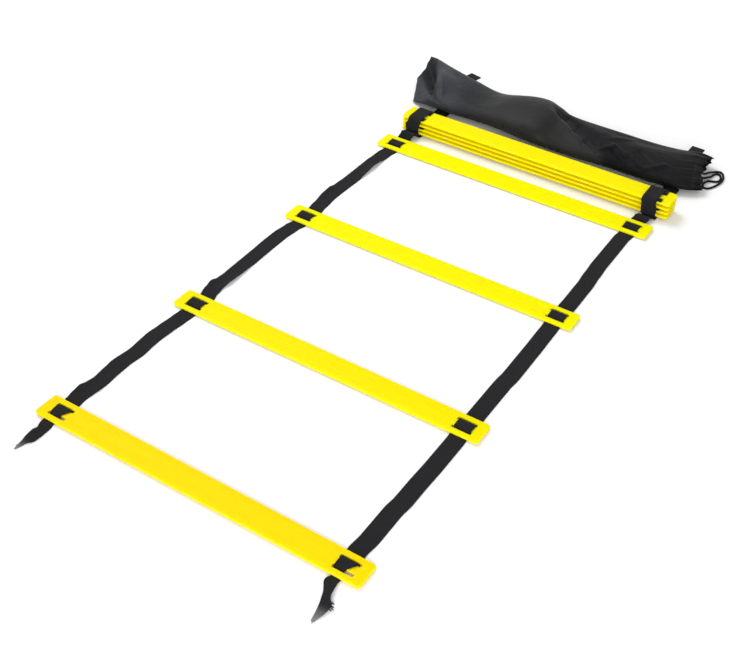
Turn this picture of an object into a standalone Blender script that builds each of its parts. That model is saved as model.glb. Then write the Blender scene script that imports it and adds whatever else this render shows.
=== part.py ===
"""Agility ladder: eight flat rungs on two webbing straps, half laid out, half stacked.

Metres, +Z up. X runs along the rungs, Y runs along the straps away from the loose tails,
and the floor is Z = 0. Four rungs lie on the floor, four are stacked behind them with
the straps wound once round the stack, and the empty carry bag lies behind the stack.
"""

import math

import bmesh
import bpy
from mathutils import Matrix, Vector

# Running gap between touching pieces
CLEARANCE = 0.0003

# Rungs
RUNG_LENGTH = 0.500
RUNG_WIDTH = 0.038
RUNG_THICKNESS = 0.0038
RUNG_CORNER_RADIUS = 0.0045
RUNG_EDGE_ROUND = 0.0005
RUNG_PITCH = 0.270
LAID_RUNGS = 4
STACKED_RUNGS = 4

# Slots in each rung end, two either side of a middle bar
SLOT_WIDTH = 0.0055
SLOT_SIDE_CLEARANCE = 0.002
SLOT_CORNER_RADIUS = 0.001
MIDDLE_BAR_WIDTH = 0.011

# Webbing straps
WEBBING_WIDTH = 0.025
WEBBING_THICKNESS = 0.0016
STRAP_INSET = 0.029
SLACK_RISE = 0.006
SLACK_BEND_RADIUS = 0.006
SLACK_START_SHARE = 0.05
SLACK_CREST_SHARE = 0.70
LEFT_TAIL_LENGTH = 0.060
RIGHT_TAIL_LENGTH = 0.063

# Spacing along the floor, and how far the stack lies to the right of the laid rungs
STACK_GAP = 0.0272
STACK_SIDE_OFFSET = 0.0085
BAG_GAP = 0.0325

# Carry bag
BAG_LENGTH = 0.5645
BAG_DEPTH = 0.114
BAG_HEIGHT = 0.034
BAG_SIDE_OFFSET = 0.0143
BAG_HEM_WIDTH = 0.016
BAG_TAB_WIDTH = 0.023
BAG_TAB_LENGTH = 0.020
BAG_TAB_THICKNESS = 0.0026
BAG_TAB_EDGE_ROUND = 0.0006
DRAWSTRING_RADIUS = 0.0018

# Facets
ARC_STEP = math.radians(20.0)
RUNG_CORNER_SEGMENTS = 4
SLOT_CORNER_SEGMENTS = 2
BAG_RING_POINTS = 32
BAG_RINGS_PER_SPAN = 2
TAB_EDGE_SAMPLES = 9
ROUTE_TICKS = 16
SHARP_ANGLE = math.radians(35.0)
RIM_ANGLE = math.radians(60.0)
STRAIGHT_ANGLE = math.radians(0.5)
ROUND_PROFILE = 0.5

# Tail outlines: share of the tail's length, share of the webbing's width, sideways
# shift as a share of that width, roll in degrees
LEFT_TAIL_SHARES = (
    (0.00, 1.00, 0.00, 0.0),
    (0.14, 0.98, -0.10, -8.0),
    (0.26, 0.90, -0.16, -14.0),
    (0.40, 0.76, -0.06, -24.0),
    (0.58, 0.72, -0.02, -26.0),
    (0.74, 0.62, 0.00, -22.0),
    (0.88, 0.34, 0.02, -16.0),
    (1.00, 0.08, 0.00, -10.0),
)
RIGHT_TAIL_SHARES = (
    (0.00, 1.00, 0.00, 0.0),
    (0.14, 0.86, -0.12, 14.0),
    (0.26, 0.70, -0.16, 28.0),
    (0.40, 0.60, -0.02, 38.0),
    (0.56, 0.56, 0.12, 34.0),
    (0.70, 0.66, 0.24, 24.0),
    (0.86, 0.46, 0.24, 16.0),
    (1.00, 0.10, 0.22, 8.0),
)

# Bag outline from closed end to mouth: share of the bag's length, then the front edge's
# offset and the depth as shares of the bag's depth, the height as a share of the bag's
# height, and the lift of the rear edge as a share of that height
BAG_SHARES = (
    (0.000, 0.20, 1.20, 0.18, 0.62),
    (0.022, 0.16, 1.22, 0.42, 0.50),
    (0.083, 0.09, 1.15, 1.02, 0.12),
    (0.173, 0.08, 1.03, 1.04, 0.00),
    (0.263, 0.12, 0.90, 0.92, 0.00),
    (0.352, 0.07, 0.94, 1.28, 0.00),
    (0.442, -0.02, 1.09, 1.50, 0.00),
    (0.495, -0.03, 1.01, 1.42, 0.00),
    (0.530, 0.00, 0.96, 1.12, 0.00),
    (0.620, 0.01, 0.97, 1.00, 0.00),
    (0.710, 0.04, 0.93, 1.00, 0.00),
    (0.799, 0.04, 0.95, 0.98, 0.00),
    (0.889, 0.05, 0.98, 0.94, 0.02),
    (0.960, 0.15, 0.97, 0.82, 0.10),
    (1.000, 0.31, 0.80, 0.62, 0.20),
)
BAG_END_SKEW_SHARE = 0.34
BAG_MOUTH_SKEW_SHARE = 0.19
BAG_MOUTH_DISH_SHARE = 0.10
BAG_END_REACH_SHARE = 0.16
BAG_LEFT_TAB_SHARE = 0.140
BAG_RIGHT_TAB_SHARE = 0.937
BAG_UNDERSIDE_SHARE = 0.8

# Route of the drawstring's loops past the mouth, measured from the middle of the mouth;
# its two ends are drawn back to the hem
DRAWSTRING_ROUTE = (
    (-0.0093, 0.0010, 0.0106),
    (-0.0068, 0.0014, 0.0105),
    (-0.0044, 0.0042, 0.0098),
    (-0.0034, 0.0120, 0.0078),
    (-0.0015, 0.0200, 0.0053),
    (0.0016, 0.0270, 0.0035),
    (0.0058, 0.0332, 0.0024),
    (0.0112, 0.0362, 0.0020),
    (0.0164, 0.0336, 0.0020),
    (0.0200, 0.0276, 0.0020),
    (0.0226, 0.0200, 0.0020),
    (0.0240, 0.0120, 0.0020),
    (0.0236, 0.0040, 0.0020),
    (0.0216, -0.0040, 0.0020),
    (0.0190, -0.0120, 0.0020),
    (0.0156, -0.0196, 0.0020),
    (0.0110, -0.0254, 0.0020),
    (0.0054, -0.0266, 0.0024),
    (0.0016, -0.0224, 0.0033),
    (0.0014, -0.0164, 0.0040),
    (0.0026, -0.0096, 0.0037),
    (0.0050, -0.0030, 0.0029),
    (0.0094, 0.0020, 0.0022),
    (0.0142, 0.0048, 0.0020),
    (0.0172, 0.0096, 0.0020),
    (0.0170, 0.0164, 0.0020),
    (0.0146, 0.0226, 0.0020),
    (0.0102, 0.0260, 0.0020),
    (0.0060, 0.0226, 0.0020),
    (0.0044, 0.0156, 0.0025),
    (0.0028, 0.0084, 0.0037),
    (0.0002, 0.0016, 0.0057),
    (-0.0022, -0.0056, 0.0076),
    (-0.0046, -0.0092, 0.0088),
    (-0.0064, -0.0102, 0.0091),
)
DRAWSTRING_STEP = 0.0056
DRAWSTRING_TILT_SHARE = 0.4

# Levels and offsets worked out from the sizes above
HALF_WEB = WEBBING_THICKNESS / 2
STRAP_STEP = WEBBING_THICKNESS + CLEARANCE
BEND_RADIUS = HALF_WEB + RUNG_EDGE_ROUND + CLEARANCE
NEST_RADIUS = BEND_RADIUS + STRAP_STEP
TURN_RADIUS = STRAP_STEP / 2
STRAP_X = RUNG_LENGTH / 2 - STRAP_INSET
SLOT_LENGTH = WEBBING_WIDTH + 2 * SLOT_SIDE_CLEARANCE
SLOT_INNER = MIDDLE_BAR_WIDTH / 2
SLOT_OUTER = SLOT_INNER + SLOT_WIDTH
HALF_RUNG = RUNG_WIDTH / 2
LAID_BASE = STRAP_STEP
LAID_HEIGHT = LAID_BASE + RUNG_THICKNESS + STRAP_STEP
STACK_BASE = 2 * STRAP_STEP
STACK_PITCH = RUNG_THICKNESS + 2 * STRAP_STEP + CLEARANCE
LEG_OFFSET = HALF_RUNG + CLEARANCE + HALF_WEB
WRAP_OFFSET = LEG_OFFSET + STRAP_STEP
STACK_SPACING = HALF_RUNG + STACK_GAP + WRAP_OFFSET + HALF_WEB
STACK_Y = (LAID_RUNGS - 1) * RUNG_PITCH + STACK_SPACING
ENTRY_LEVEL = HALF_WEB + STRAP_STEP
LAST_BASE = STACK_BASE + (STACKED_RUNGS - 1) * STACK_PITCH
WRAP_LEVEL = LAST_BASE + RUNG_THICKNESS + CLEARANCE + HALF_WEB + STRAP_STEP
STACK_TOP = WRAP_LEVEL + HALF_WEB
BAG_FRONT_Y = STACK_Y + WRAP_OFFSET + HALF_WEB + BAG_GAP
BAG_LEFT_X = -BAG_LENGTH / 2 - BAG_SIDE_OFFSET
HINGE_CLEARANCE = CLEARANCE / 2


def clear_scene():
    """Remove the objects that the scene starts with."""
    for item in list(bpy.data.objects):
        bpy.data.objects.remove(item, do_unlink=True)


def make_material(name, colour, roughness, metallic=0.0):
    """A Principled material with one colour."""
    material = bpy.data.materials.new(name)
    material.use_nodes = True
    shader = material.node_tree.nodes["Principled BSDF"]
    shader.inputs["Base Color"].default_value = (*colour, 1.0)
    shader.inputs["Roughness"].default_value = roughness
    shader.inputs["Metallic"].default_value = metallic
    material.diffuse_color = (*colour, 1.0)
    return material


def add_object(name, data, origin, material):
    """Link data as a named object at its origin."""
    item = bpy.data.objects.new(name, data)
    item.location = origin
    if not data.materials:
        data.materials.append(material)
    bpy.context.collection.objects.link(item)
    return item


def finish_mesh(bm, name):
    """Turn a bmesh into a mesh with its faces out and its round parts smooth."""
    bmesh.ops.recalc_face_normals(bm, faces=bm.faces)
    mesh = bpy.data.meshes.new(name)
    bm.to_mesh(mesh)
    bm.free()
    mesh.shade_smooth()
    mesh.set_sharp_from_angle(angle=SHARP_ANGLE)
    return mesh


# Straps


def rounded_path(corners):
    """Points of a line in the YZ plane whose corners (y, z, radius) are arcs."""
    points = [Vector(corners[0][:2])]
    for before, corner, after in zip(corners, corners[1:], corners[2:]):
        here = Vector(corner[:2])
        arriving = (here - Vector(before[:2])).normalized()
        leaving = (Vector(after[:2]) - here).normalized()
        turn = arriving.angle_signed(leaving, 0.0)
        if corner[2] == 0 or abs(turn) < STRAIGHT_ANGLE:
            points.append(here)
            continue
        reach = corner[2] * math.tan(abs(turn) / 2)
        side = Vector((-arriving.y, arriving.x))
        if arriving.cross(leaving) < 0:
            side = -side
        centre = here - reach * arriving + corner[2] * side
        steps = max(2, math.ceil(abs(turn) / ARC_STEP))
        spoke = -corner[2] * side
        sense = 1.0 if arriving.cross(leaving) > 0 else -1.0
        for index in range(steps + 1):
            angle = sense * abs(turn) * index / steps
            turned = Matrix.Rotation(angle, 2) @ spoke
            points.append(centre + turned)
    points.append(Vector(corners[-1][:2]))
    kept = [points[0]]
    for point in points[1:]:
        if (point - kept[-1]).length > HINGE_CLEARANCE:
            kept.append(point)
    return kept


def path_normals(points):
    """Mitred normals of a line of points."""
    normals = []
    for index in range(len(points)):
        ahead = points[min(index + 1, len(points) - 1)] - points[index]
        behind = points[index] - points[max(index - 1, 0)]
        if index == 0:
            behind = ahead
        if index == len(points) - 1:
            ahead = behind
        first = Vector((-behind.y, behind.x)).normalized()
        second = Vector((-ahead.y, ahead.x)).normalized()
        middle = (first + second).normalized()
        normals.append(middle / middle.dot(first))
    return normals


def strap_mesh(name, points, origin, sections=None):
    """A webbing strip along a line in the YZ plane.

    sections gives each point its width, sideways shift and roll; without them the
    strip keeps the webbing's width.
    """
    if sections is None:
        sections = [(WEBBING_WIDTH, 0.0, 0.0)] * len(points)
    bm = bmesh.new()
    rings = []
    for point, normal, section in zip(points, path_normals(points), sections):
        width, shift, roll = section
        up = Vector((0.0, normal.x, normal.y))
        across = Vector((1.0, 0.0, 0.0))
        if roll:
            tangent = across.cross(up).normalized()
            turn = Matrix.Rotation(roll, 3, tangent)
            up = turn @ up
            across = turn @ across
        centre = Vector((shift, point.x, point.y)) - origin
        half_width = across * (width / 2)
        half_up = up * HALF_WEB
        ring = (
            bm.verts.new(centre - half_width - half_up),
            bm.verts.new(centre + half_width - half_up),
            bm.verts.new(centre + half_width + half_up),
            bm.verts.new(centre - half_width + half_up),
        )
        rings.append(ring)
    for ring, following in zip(rings, rings[1:]):
        for side in range(4):
            other = (side + 1) % 4
            bm.faces.new((ring[side], ring[other], following[other], following[side]))
    bm.faces.new(rings[0])
    bm.faces.new(rings[-1])
    return finish_mesh(bm, name)


def slot_crossing():
    """Where the strap crosses a slot between the outer bar and the middle bar.

    Gives the distance from the rung's middle at which the strap leaves its outer
    level, at which it reaches its middle level, and the slope between them.
    """
    run = SLOT_WIDTH + 2 * RUNG_EDGE_ROUND
    rise = RUNG_THICKNESS - 2 * RUNG_EDGE_ROUND
    apart = math.hypot(run, rise)
    slope = math.atan2(rise, run) + math.asin(2 * BEND_RADIUS / apart)
    half_climb = (RUNG_THICKNESS + 2 * CLEARANCE + WEBBING_THICKNESS) / 2
    half_run = half_climb / math.tan(slope)
    middle = (SLOT_INNER + SLOT_OUTER) / 2
    return middle + half_run, middle - half_run, slope


def threaded(y_centre, outer_level, middle_level, heading):
    """Corners of the strap through one rung, travelling along heading (1 or -1)."""
    outer, inner, _ = slot_crossing()
    return [
        (y_centre - heading * outer, outer_level, BEND_RADIUS),
        (y_centre - heading * inner, middle_level, BEND_RADIUS),
        (y_centre + heading * inner, middle_level, BEND_RADIUS),
        (y_centre + heading * outer, outer_level, BEND_RADIUS),
    ]


def saddle_level():
    """Height of the strap's middle where it lies over a laid rung's middle bar."""
    return LAID_BASE + RUNG_THICKNESS + CLEARANCE + HALF_WEB


def slot_end(y_centre, side, toward_saddle):
    """End of a strip at the middle of a slot, set back by half the clearance."""
    _, _, slope = slot_crossing()
    middle_y = (SLOT_INNER + SLOT_OUTER) / 2
    middle_z = (HALF_WEB + saddle_level()) / 2
    back = HINGE_CLEARANCE if toward_saddle else -HINGE_CLEARANCE
    y = y_centre + side * (middle_y - back * math.cos(slope))
    return y, middle_z + back * math.sin(slope), 0.0


def saddle_corners(y_centre):
    """The strap over a laid rung's middle bar, slot to slot."""
    _, inner, _ = slot_crossing()
    return [
        slot_end(y_centre, -1, True),
        (y_centre - inner, saddle_level(), BEND_RADIUS),
        (y_centre + inner, saddle_level(), BEND_RADIUS),
        slot_end(y_centre, 1, True),
    ]


def half_bay_corners(y_centre, side):
    """The strap from a laid rung's slot along the floor to the next fold line."""
    outer, _, _ = slot_crossing()
    fold_y = y_centre + side * (RUNG_PITCH / 2 - HINGE_CLEARANCE)
    return [
        slot_end(y_centre, side, False),
        (y_centre + side * outer, HALF_WEB, BEND_RADIUS),
        (fold_y, HALF_WEB, 0.0),
    ]


def slack_corners(edge_y, fold_y):
    """The strap's rise from the floor at edge_y to the slack at the fold line."""
    free = fold_y - edge_y
    crest = HALF_WEB + SLACK_RISE
    return [
        (edge_y + free * SLACK_START_SHARE, HALF_WEB, SLACK_BEND_RADIUS),
        (edge_y + free * SLACK_CREST_SHARE, crest, SLACK_BEND_RADIUS),
        (fold_y, crest, 0.0),
    ]


def last_bay_corners(y_centre):
    """The strap from the last laid rung to the fold line before the stack."""
    outer, _, _ = slot_crossing()
    fold_y = y_centre + STACK_SPACING / 2 - HINGE_CLEARANCE
    start = [
        slot_end(y_centre, 1, False),
        (y_centre + outer, HALF_WEB, BEND_RADIUS),
    ]
    return start + slack_corners(y_centre + HALF_RUNG, fold_y)


def loop_end(side):
    """How far back a strap's floor loop reaches: just clear of the bag's underside."""
    needed = STRAP_STEP + WEBBING_THICKNESS + CLEARANCE
    reaches = []
    for edge in (-WEBBING_WIDTH / 2, 0.0, WEBBING_WIDTH / 2):
        across_bag = side * STRAP_X + STACK_SIDE_OFFSET + edge - BAG_LEFT_X
        share = across_bag / BAG_LENGTH
        front, depth, height, _ = bag_section(share)
        drop = max(0.0, 1 - 2 * needed / height)
        across = math.cos(math.asin(drop ** (1 / BAG_UNDERSIDE_SHARE)))
        reaches.append(front + depth * (1 - across) / 2)
    return min(reaches)


def stack_corners(side):
    """The strap from the fold line, round the stack and back and forth through it."""
    y = STACK_Y
    fold_y = y - STACK_SPACING / 2 + HINGE_CLEARANCE
    lead = slack_corners(y - WRAP_OFFSET - HALF_WEB, fold_y)
    corners = list(reversed(lead))
    loop_y = loop_end(side)
    corners.append((loop_y, HALF_WEB, TURN_RADIUS))
    corners.append((loop_y, ENTRY_LEVEL, TURN_RADIUS))
    corners.append((y + WRAP_OFFSET, ENTRY_LEVEL, BEND_RADIUS))
    corners.append((y + WRAP_OFFSET, WRAP_LEVEL, NEST_RADIUS))
    corners.append((y - WRAP_OFFSET, WRAP_LEVEL, NEST_RADIUS))
    corners.append((y - WRAP_OFFSET, ENTRY_LEVEL, BEND_RADIUS))
    for layer in range(STACKED_RUNGS):
        base = STACK_BASE + layer * STACK_PITCH
        under = base - CLEARANCE - HALF_WEB
        over = base + RUNG_THICKNESS + CLEARANCE + HALF_WEB
        if layer % 2 == 0:
            corners += threaded(y, under, over, 1)
            corners.append((y + LEG_OFFSET, under, BEND_RADIUS))
            corners.append((y + LEG_OFFSET, over + STACK_PITCH, BEND_RADIUS))
        else:
            corners += threaded(y, over, under, -1)
            if layer < STACKED_RUNGS - 1:
                corners.append((y - LEG_OFFSET, over, TURN_RADIUS))
                corners.append((y - LEG_OFFSET, over + STRAP_STEP, TURN_RADIUS))
    corners.append((y - WRAP_OFFSET + NEST_RADIUS, WRAP_LEVEL - STRAP_STEP, 0.0))
    return corners


def sideways(y):
    """How far the straps have moved toward the stack's own strap lines at y."""
    start = (LAID_RUNGS - 1) * RUNG_PITCH + HALF_RUNG
    end = STACK_Y - WRAP_OFFSET - HALF_WEB
    share = min(1.0, max(0.0, (y - start) / (end - start)))
    return STACK_SIDE_OFFSET * share


def build_strap(name, corners, side, origin, material):
    """One webbing strip on the left (-1) or right (1) strap line."""
    points = rounded_path(corners)
    sections = []
    for point in points:
        sections.append((WEBBING_WIDTH, side * STRAP_X + sideways(point.x), 0.0))
    mesh = strap_mesh(name, points, Vector(origin), sections)
    return add_object(name, mesh, origin, material)


def build_tail(name, side, length, shares, origin, material):
    """The loose cut end of a strap, tapered and rolled, in front of the first rung."""
    outer, _, _ = slot_crossing()
    start = [
        slot_end(0.0, -1, False),
        (-outer, HALF_WEB, BEND_RADIUS),
        (-HALF_RUNG, HALF_WEB, 0.0),
    ]
    points = rounded_path(start)
    sections = [(WEBBING_WIDTH, side * STRAP_X, 0.0)] * len(points)
    for share, width_share, shift_share, degrees in shares[1:]:
        roll = math.radians(degrees)
        width = WEBBING_WIDTH * width_share
        rise = abs(math.sin(roll)) * width / 2 + math.cos(roll) * HALF_WEB
        points.append(Vector((-HALF_RUNG - share * length, rise)))
        shift = side * STRAP_X + shift_share * WEBBING_WIDTH
        sections.append((width, shift, roll))
    mesh = strap_mesh(name, points, Vector(origin), sections)
    return add_object(name, mesh, origin, material)


# Rungs


def rung_mesh():
    """A flat rung with rounded corners and two slots near each end."""
    half_length = RUNG_LENGTH / 2
    x_lines = [-half_length]
    for middle in (-STRAP_X, STRAP_X):
        x_lines.append(middle - SLOT_LENGTH / 2)
        x_lines.append(middle + SLOT_LENGTH / 2)
    x_lines.append(half_length)
    y_lines = [-HALF_RUNG, -SLOT_OUTER, -SLOT_INNER, SLOT_INNER, SLOT_OUTER, HALF_RUNG]
    bm = bmesh.new()
    low = -RUNG_THICKNESS / 2
    grid = [[bm.verts.new((x, y, low)) for y in y_lines] for x in x_lines]
    for column in range(5):
        for row in range(5):
            if column in (1, 3) and row in (1, 3):
                continue
            bm.faces.new((
                grid[column][row],
                grid[column + 1][row],
                grid[column + 1][row + 1],
                grid[column][row + 1],
            ))
    raised = bmesh.ops.extrude_face_region(bm, geom=list(bm.faces))
    tops = [item for item in raised["geom"] if isinstance(item, bmesh.types.BMVert)]
    bmesh.ops.translate(bm, vec=(0.0, 0.0, RUNG_THICKNESS), verts=tops)
    bmesh.ops.recalc_face_normals(bm, faces=bm.faces)
    outer_edges = []
    slot_edges = []
    for edge in bm.edges:
        first, second = (vert.co for vert in edge.verts)
        if abs(first.z - second.z) < RUNG_THICKNESS / 2:
            continue
        if edge.calc_face_angle(0.0) < SHARP_ANGLE:
            continue
        at_end = abs(first.x) > half_length - RUNG_EDGE_ROUND
        at_side = abs(first.y) > HALF_RUNG - RUNG_EDGE_ROUND
        if at_end and at_side:
            outer_edges.append(edge)
        else:
            slot_edges.append(edge)
    bmesh.ops.bevel(
        bm,
        geom=outer_edges,
        offset=RUNG_CORNER_RADIUS,
        segments=RUNG_CORNER_SEGMENTS,
        profile=ROUND_PROFILE,
        affect="EDGES",
    )
    slot_edges = [edge for edge in slot_edges if edge.is_valid]
    bmesh.ops.bevel(
        bm,
        geom=slot_edges,
        offset=SLOT_CORNER_RADIUS,
        segments=SLOT_CORNER_SEGMENTS,
        profile=ROUND_PROFILE,
        affect="EDGES",
    )
    rims = [edge for edge in bm.edges if edge.calc_face_angle(0.0) > RIM_ANGLE]
    bmesh.ops.bevel(
        bm,
        geom=rims,
        offset=RUNG_EDGE_ROUND,
        segments=1,
        profile=ROUND_PROFILE,
        affect="EDGES",
    )
    return finish_mesh(bm, "rung")


# Carry bag


def smooth_value(table, share, column):
    """A smooth curve through one column of a table whose first column is the share."""
    last = len(table) - 1
    index = 0
    while index < last - 1 and share > table[index + 1][0]:
        index += 1
    start = table[index]
    end = table[index + 1]
    before = table[max(index - 1, 0)]
    after = table[min(index + 2, last)]
    span = end[0] - start[0]
    t = (share - start[0]) / span
    slope_in = (end[column] - before[column]) / (end[0] - before[0]) * span
    slope_out = (after[column] - start[column]) / (after[0] - start[0]) * span
    square = t * t
    cube = square * t
    value = (2 * cube - 3 * square + 1) * start[column]
    value += (cube - 2 * square + t) * slope_in
    value += (3 * square - 2 * cube) * end[column]
    value += (cube - square) * slope_out
    return value


def bag_section(share):
    """Front edge, depth, height and lift of the bag at a share of its length."""
    front = BAG_FRONT_Y + smooth_value(BAG_SHARES, share, 1) * BAG_DEPTH
    depth = smooth_value(BAG_SHARES, share, 2) * BAG_DEPTH
    height = smooth_value(BAG_SHARES, share, 3) * BAG_HEIGHT
    lift = smooth_value(BAG_SHARES, share, 4) * BAG_HEIGHT
    return front, depth, height, lift


def bag_point(share, angle):
    """A point of the bag's skin: a pillow section that rests flat on the floor."""
    front, depth, height, lift = bag_section(share)
    across = math.cos(angle)
    rise = math.sin(angle)
    if rise < 0:
        rise = -abs(rise) ** BAG_UNDERSIDE_SHARE
    y = front + depth * (1 + across) / 2
    z = height * (1 + rise) / 2 + lift * (1 + across) / 2
    end_share = max(0.0, 1 - share / BAG_END_REACH_SHARE)
    mouth_share = max(0.0, 1 - (1 - share) / BAG_END_REACH_SHARE)
    skew = BAG_END_SKEW_SHARE * end_share + BAG_MOUTH_SKEW_SHARE * mouth_share
    dish = BAG_MOUTH_DISH_SHARE * mouth_share ** 2 * (1 - across ** 2)
    x = BAG_LEFT_X + share * BAG_LENGTH - depth * (skew * across / 2 + dish)
    return Vector((x, y, z))


def cap_ring(bm, ring):
    """Close a bag section with strips from its top to its underside."""
    for index in range(BAG_RING_POINTS // 2):
        corners = [ring[index], ring[index + 1]]
        if index + 1 < BAG_RING_POINTS // 2:
            corners.append(ring[-index - 1])
        if index > 0:
            corners.append(ring[-index])
        bm.faces.new(corners)


def loft_mesh(name, shares, origin):
    """A closed skin through the bag's sections at the given shares."""
    bm = bmesh.new()
    rings = []
    for share in shares:
        ring = []
        for index in range(BAG_RING_POINTS):
            angle = 2 * math.pi * index / BAG_RING_POINTS
            ring.append(bm.verts.new(bag_point(share, angle) - origin))
        rings.append(ring)
    for ring, following in zip(rings, rings[1:]):
        for index in range(BAG_RING_POINTS):
            other = (index + 1) % BAG_RING_POINTS
            bm.faces.new((ring[index], ring[other], following[other], following[index]))
    for ring in (rings[0], rings[-1]):
        cap_ring(bm, ring)
    return finish_mesh(bm, name)


def bag_shares(first, last):
    """Shares of the bag's length between two ends, closest where its shape changes."""
    shares = [first]
    for start, end in zip(BAG_SHARES, BAG_SHARES[1:]):
        for step in range(BAG_RINGS_PER_SPAN):
            share = start[0] + (end[0] - start[0]) * step / BAG_RINGS_PER_SPAN
            if first < share < last:
                shares.append(share)
    shares.append(last)
    return shares


def build_tab(name, share, origin, material):
    """A folded webbing tab sewn to the bag's rear edge, square to that edge."""
    half_share = BAG_TAB_WIDTH / 2 / BAG_LENGTH
    edge = []
    for index in range(TAB_EDGE_SAMPLES):
        place = 2 * index / (TAB_EDGE_SAMPLES - 1) - 1
        edge.append(bag_point(share + half_share * place, 0.0))
    along = edge[-1] - edge[0]
    along.z = 0.0
    along.normalize()
    outward = Vector((-along.y, along.x, 0.0))
    middle = (edge[0] + edge[-1]) / 2
    stand_off = max((point - middle).dot(outward) for point in edge) + CLEARANCE
    bm = bmesh.new()
    bmesh.ops.create_cube(bm, size=1.0)
    size = (BAG_TAB_WIDTH, BAG_TAB_LENGTH, BAG_TAB_THICKNESS)
    bmesh.ops.scale(bm, vec=size, verts=bm.verts)
    bmesh.ops.bevel(
        bm,
        geom=list(bm.edges),
        offset=BAG_TAB_EDGE_ROUND,
        segments=2,
        profile=ROUND_PROFILE,
        affect="EDGES",
    )
    turn = Matrix.Rotation(math.atan2(along.y, along.x), 4, "Z")
    place = middle + outward * (stand_off + BAG_TAB_LENGTH / 2) - origin
    bmesh.ops.transform(bm, matrix=Matrix.Translation(place) @ turn, verts=bm.verts)
    return add_object(name, finish_mesh(bm, name), origin, material)


def smooth_route(route, step):
    """Evenly spaced points of a smooth curve through a route's points."""
    dense = []
    for index in range(len(route) - 1):
        p0 = Vector(route[max(index - 1, 0)])
        p1 = Vector(route[index])
        p2 = Vector(route[index + 1])
        p3 = Vector(route[min(index + 2, len(route) - 1)])
        for tick in range(ROUTE_TICKS):
            t = tick / ROUTE_TICKS
            value = 2 * p1 + (p2 - p0) * t
            value += (2 * p0 - 5 * p1 + 4 * p2 - p3) * t ** 2
            value += (3 * p1 - p0 - 3 * p2 + p3) * t ** 3
            dense.append(value / 2)
    dense.append(Vector(route[-1]))
    total = sum((b - a).length for a, b in zip(dense, dense[1:]))
    count = max(2, round(total / step))
    points = [dense[0]]
    travelled = 0.0
    for a, b in zip(dense, dense[1:]):
        length = (b - a).length
        while len(points) < count and travelled + length >= total * len(points) / count:
            part = (total * len(points) / count - travelled) / length
            points.append(a.lerp(b, part))
        travelled += length
    points.append(dense[-1])
    return points


def build_drawstring(name, origin, material):
    """The cord's loops past the mouth hem."""
    front, depth, _, _ = bag_section(1.0)
    mouth = Vector((BAG_LEFT_X + BAG_LENGTH, front + depth / 2, 0.0))
    route = [Vector(point) for point in DRAWSTRING_ROUTE]
    for point in (route[0], route[-1]):
        across = 2 * point.y / depth
        edge = bag_point(1.0, math.acos(across)).x - mouth.x
        point.x = edge + CLEARANCE + DRAWSTRING_RADIUS * DRAWSTRING_TILT_SHARE
    curve = bpy.data.curves.new(name, "CURVE")
    curve.dimensions = "3D"
    curve.bevel_depth = DRAWSTRING_RADIUS
    curve.bevel_resolution = 2
    curve.use_fill_caps = True
    points = smooth_route(route, DRAWSTRING_STEP)
    spline = curve.splines.new("POLY")
    spline.points.add(len(points) - 1)
    for target, point in zip(spline.points, points):
        target.co = (*(mouth + point - origin), 1.0)
    return add_object(name, curve, origin, material)


def centre_on_floor(items, cords):
    """Move everything so that the solid pieces' box is centred over the origin."""
    low = [math.inf, math.inf]
    high = [-math.inf, -math.inf]
    for item in items:
        if item in cords:
            continue
        for vert in item.data.vertices:
            for axis in range(2):
                value = vert.co[axis] + item.location[axis]
                low[axis] = min(low[axis], value)
                high[axis] = max(high[axis], value)
    for item in items:
        item.location.x -= (low[0] + high[0]) / 2
        item.location.y -= (low[1] + high[1]) / 2


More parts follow.
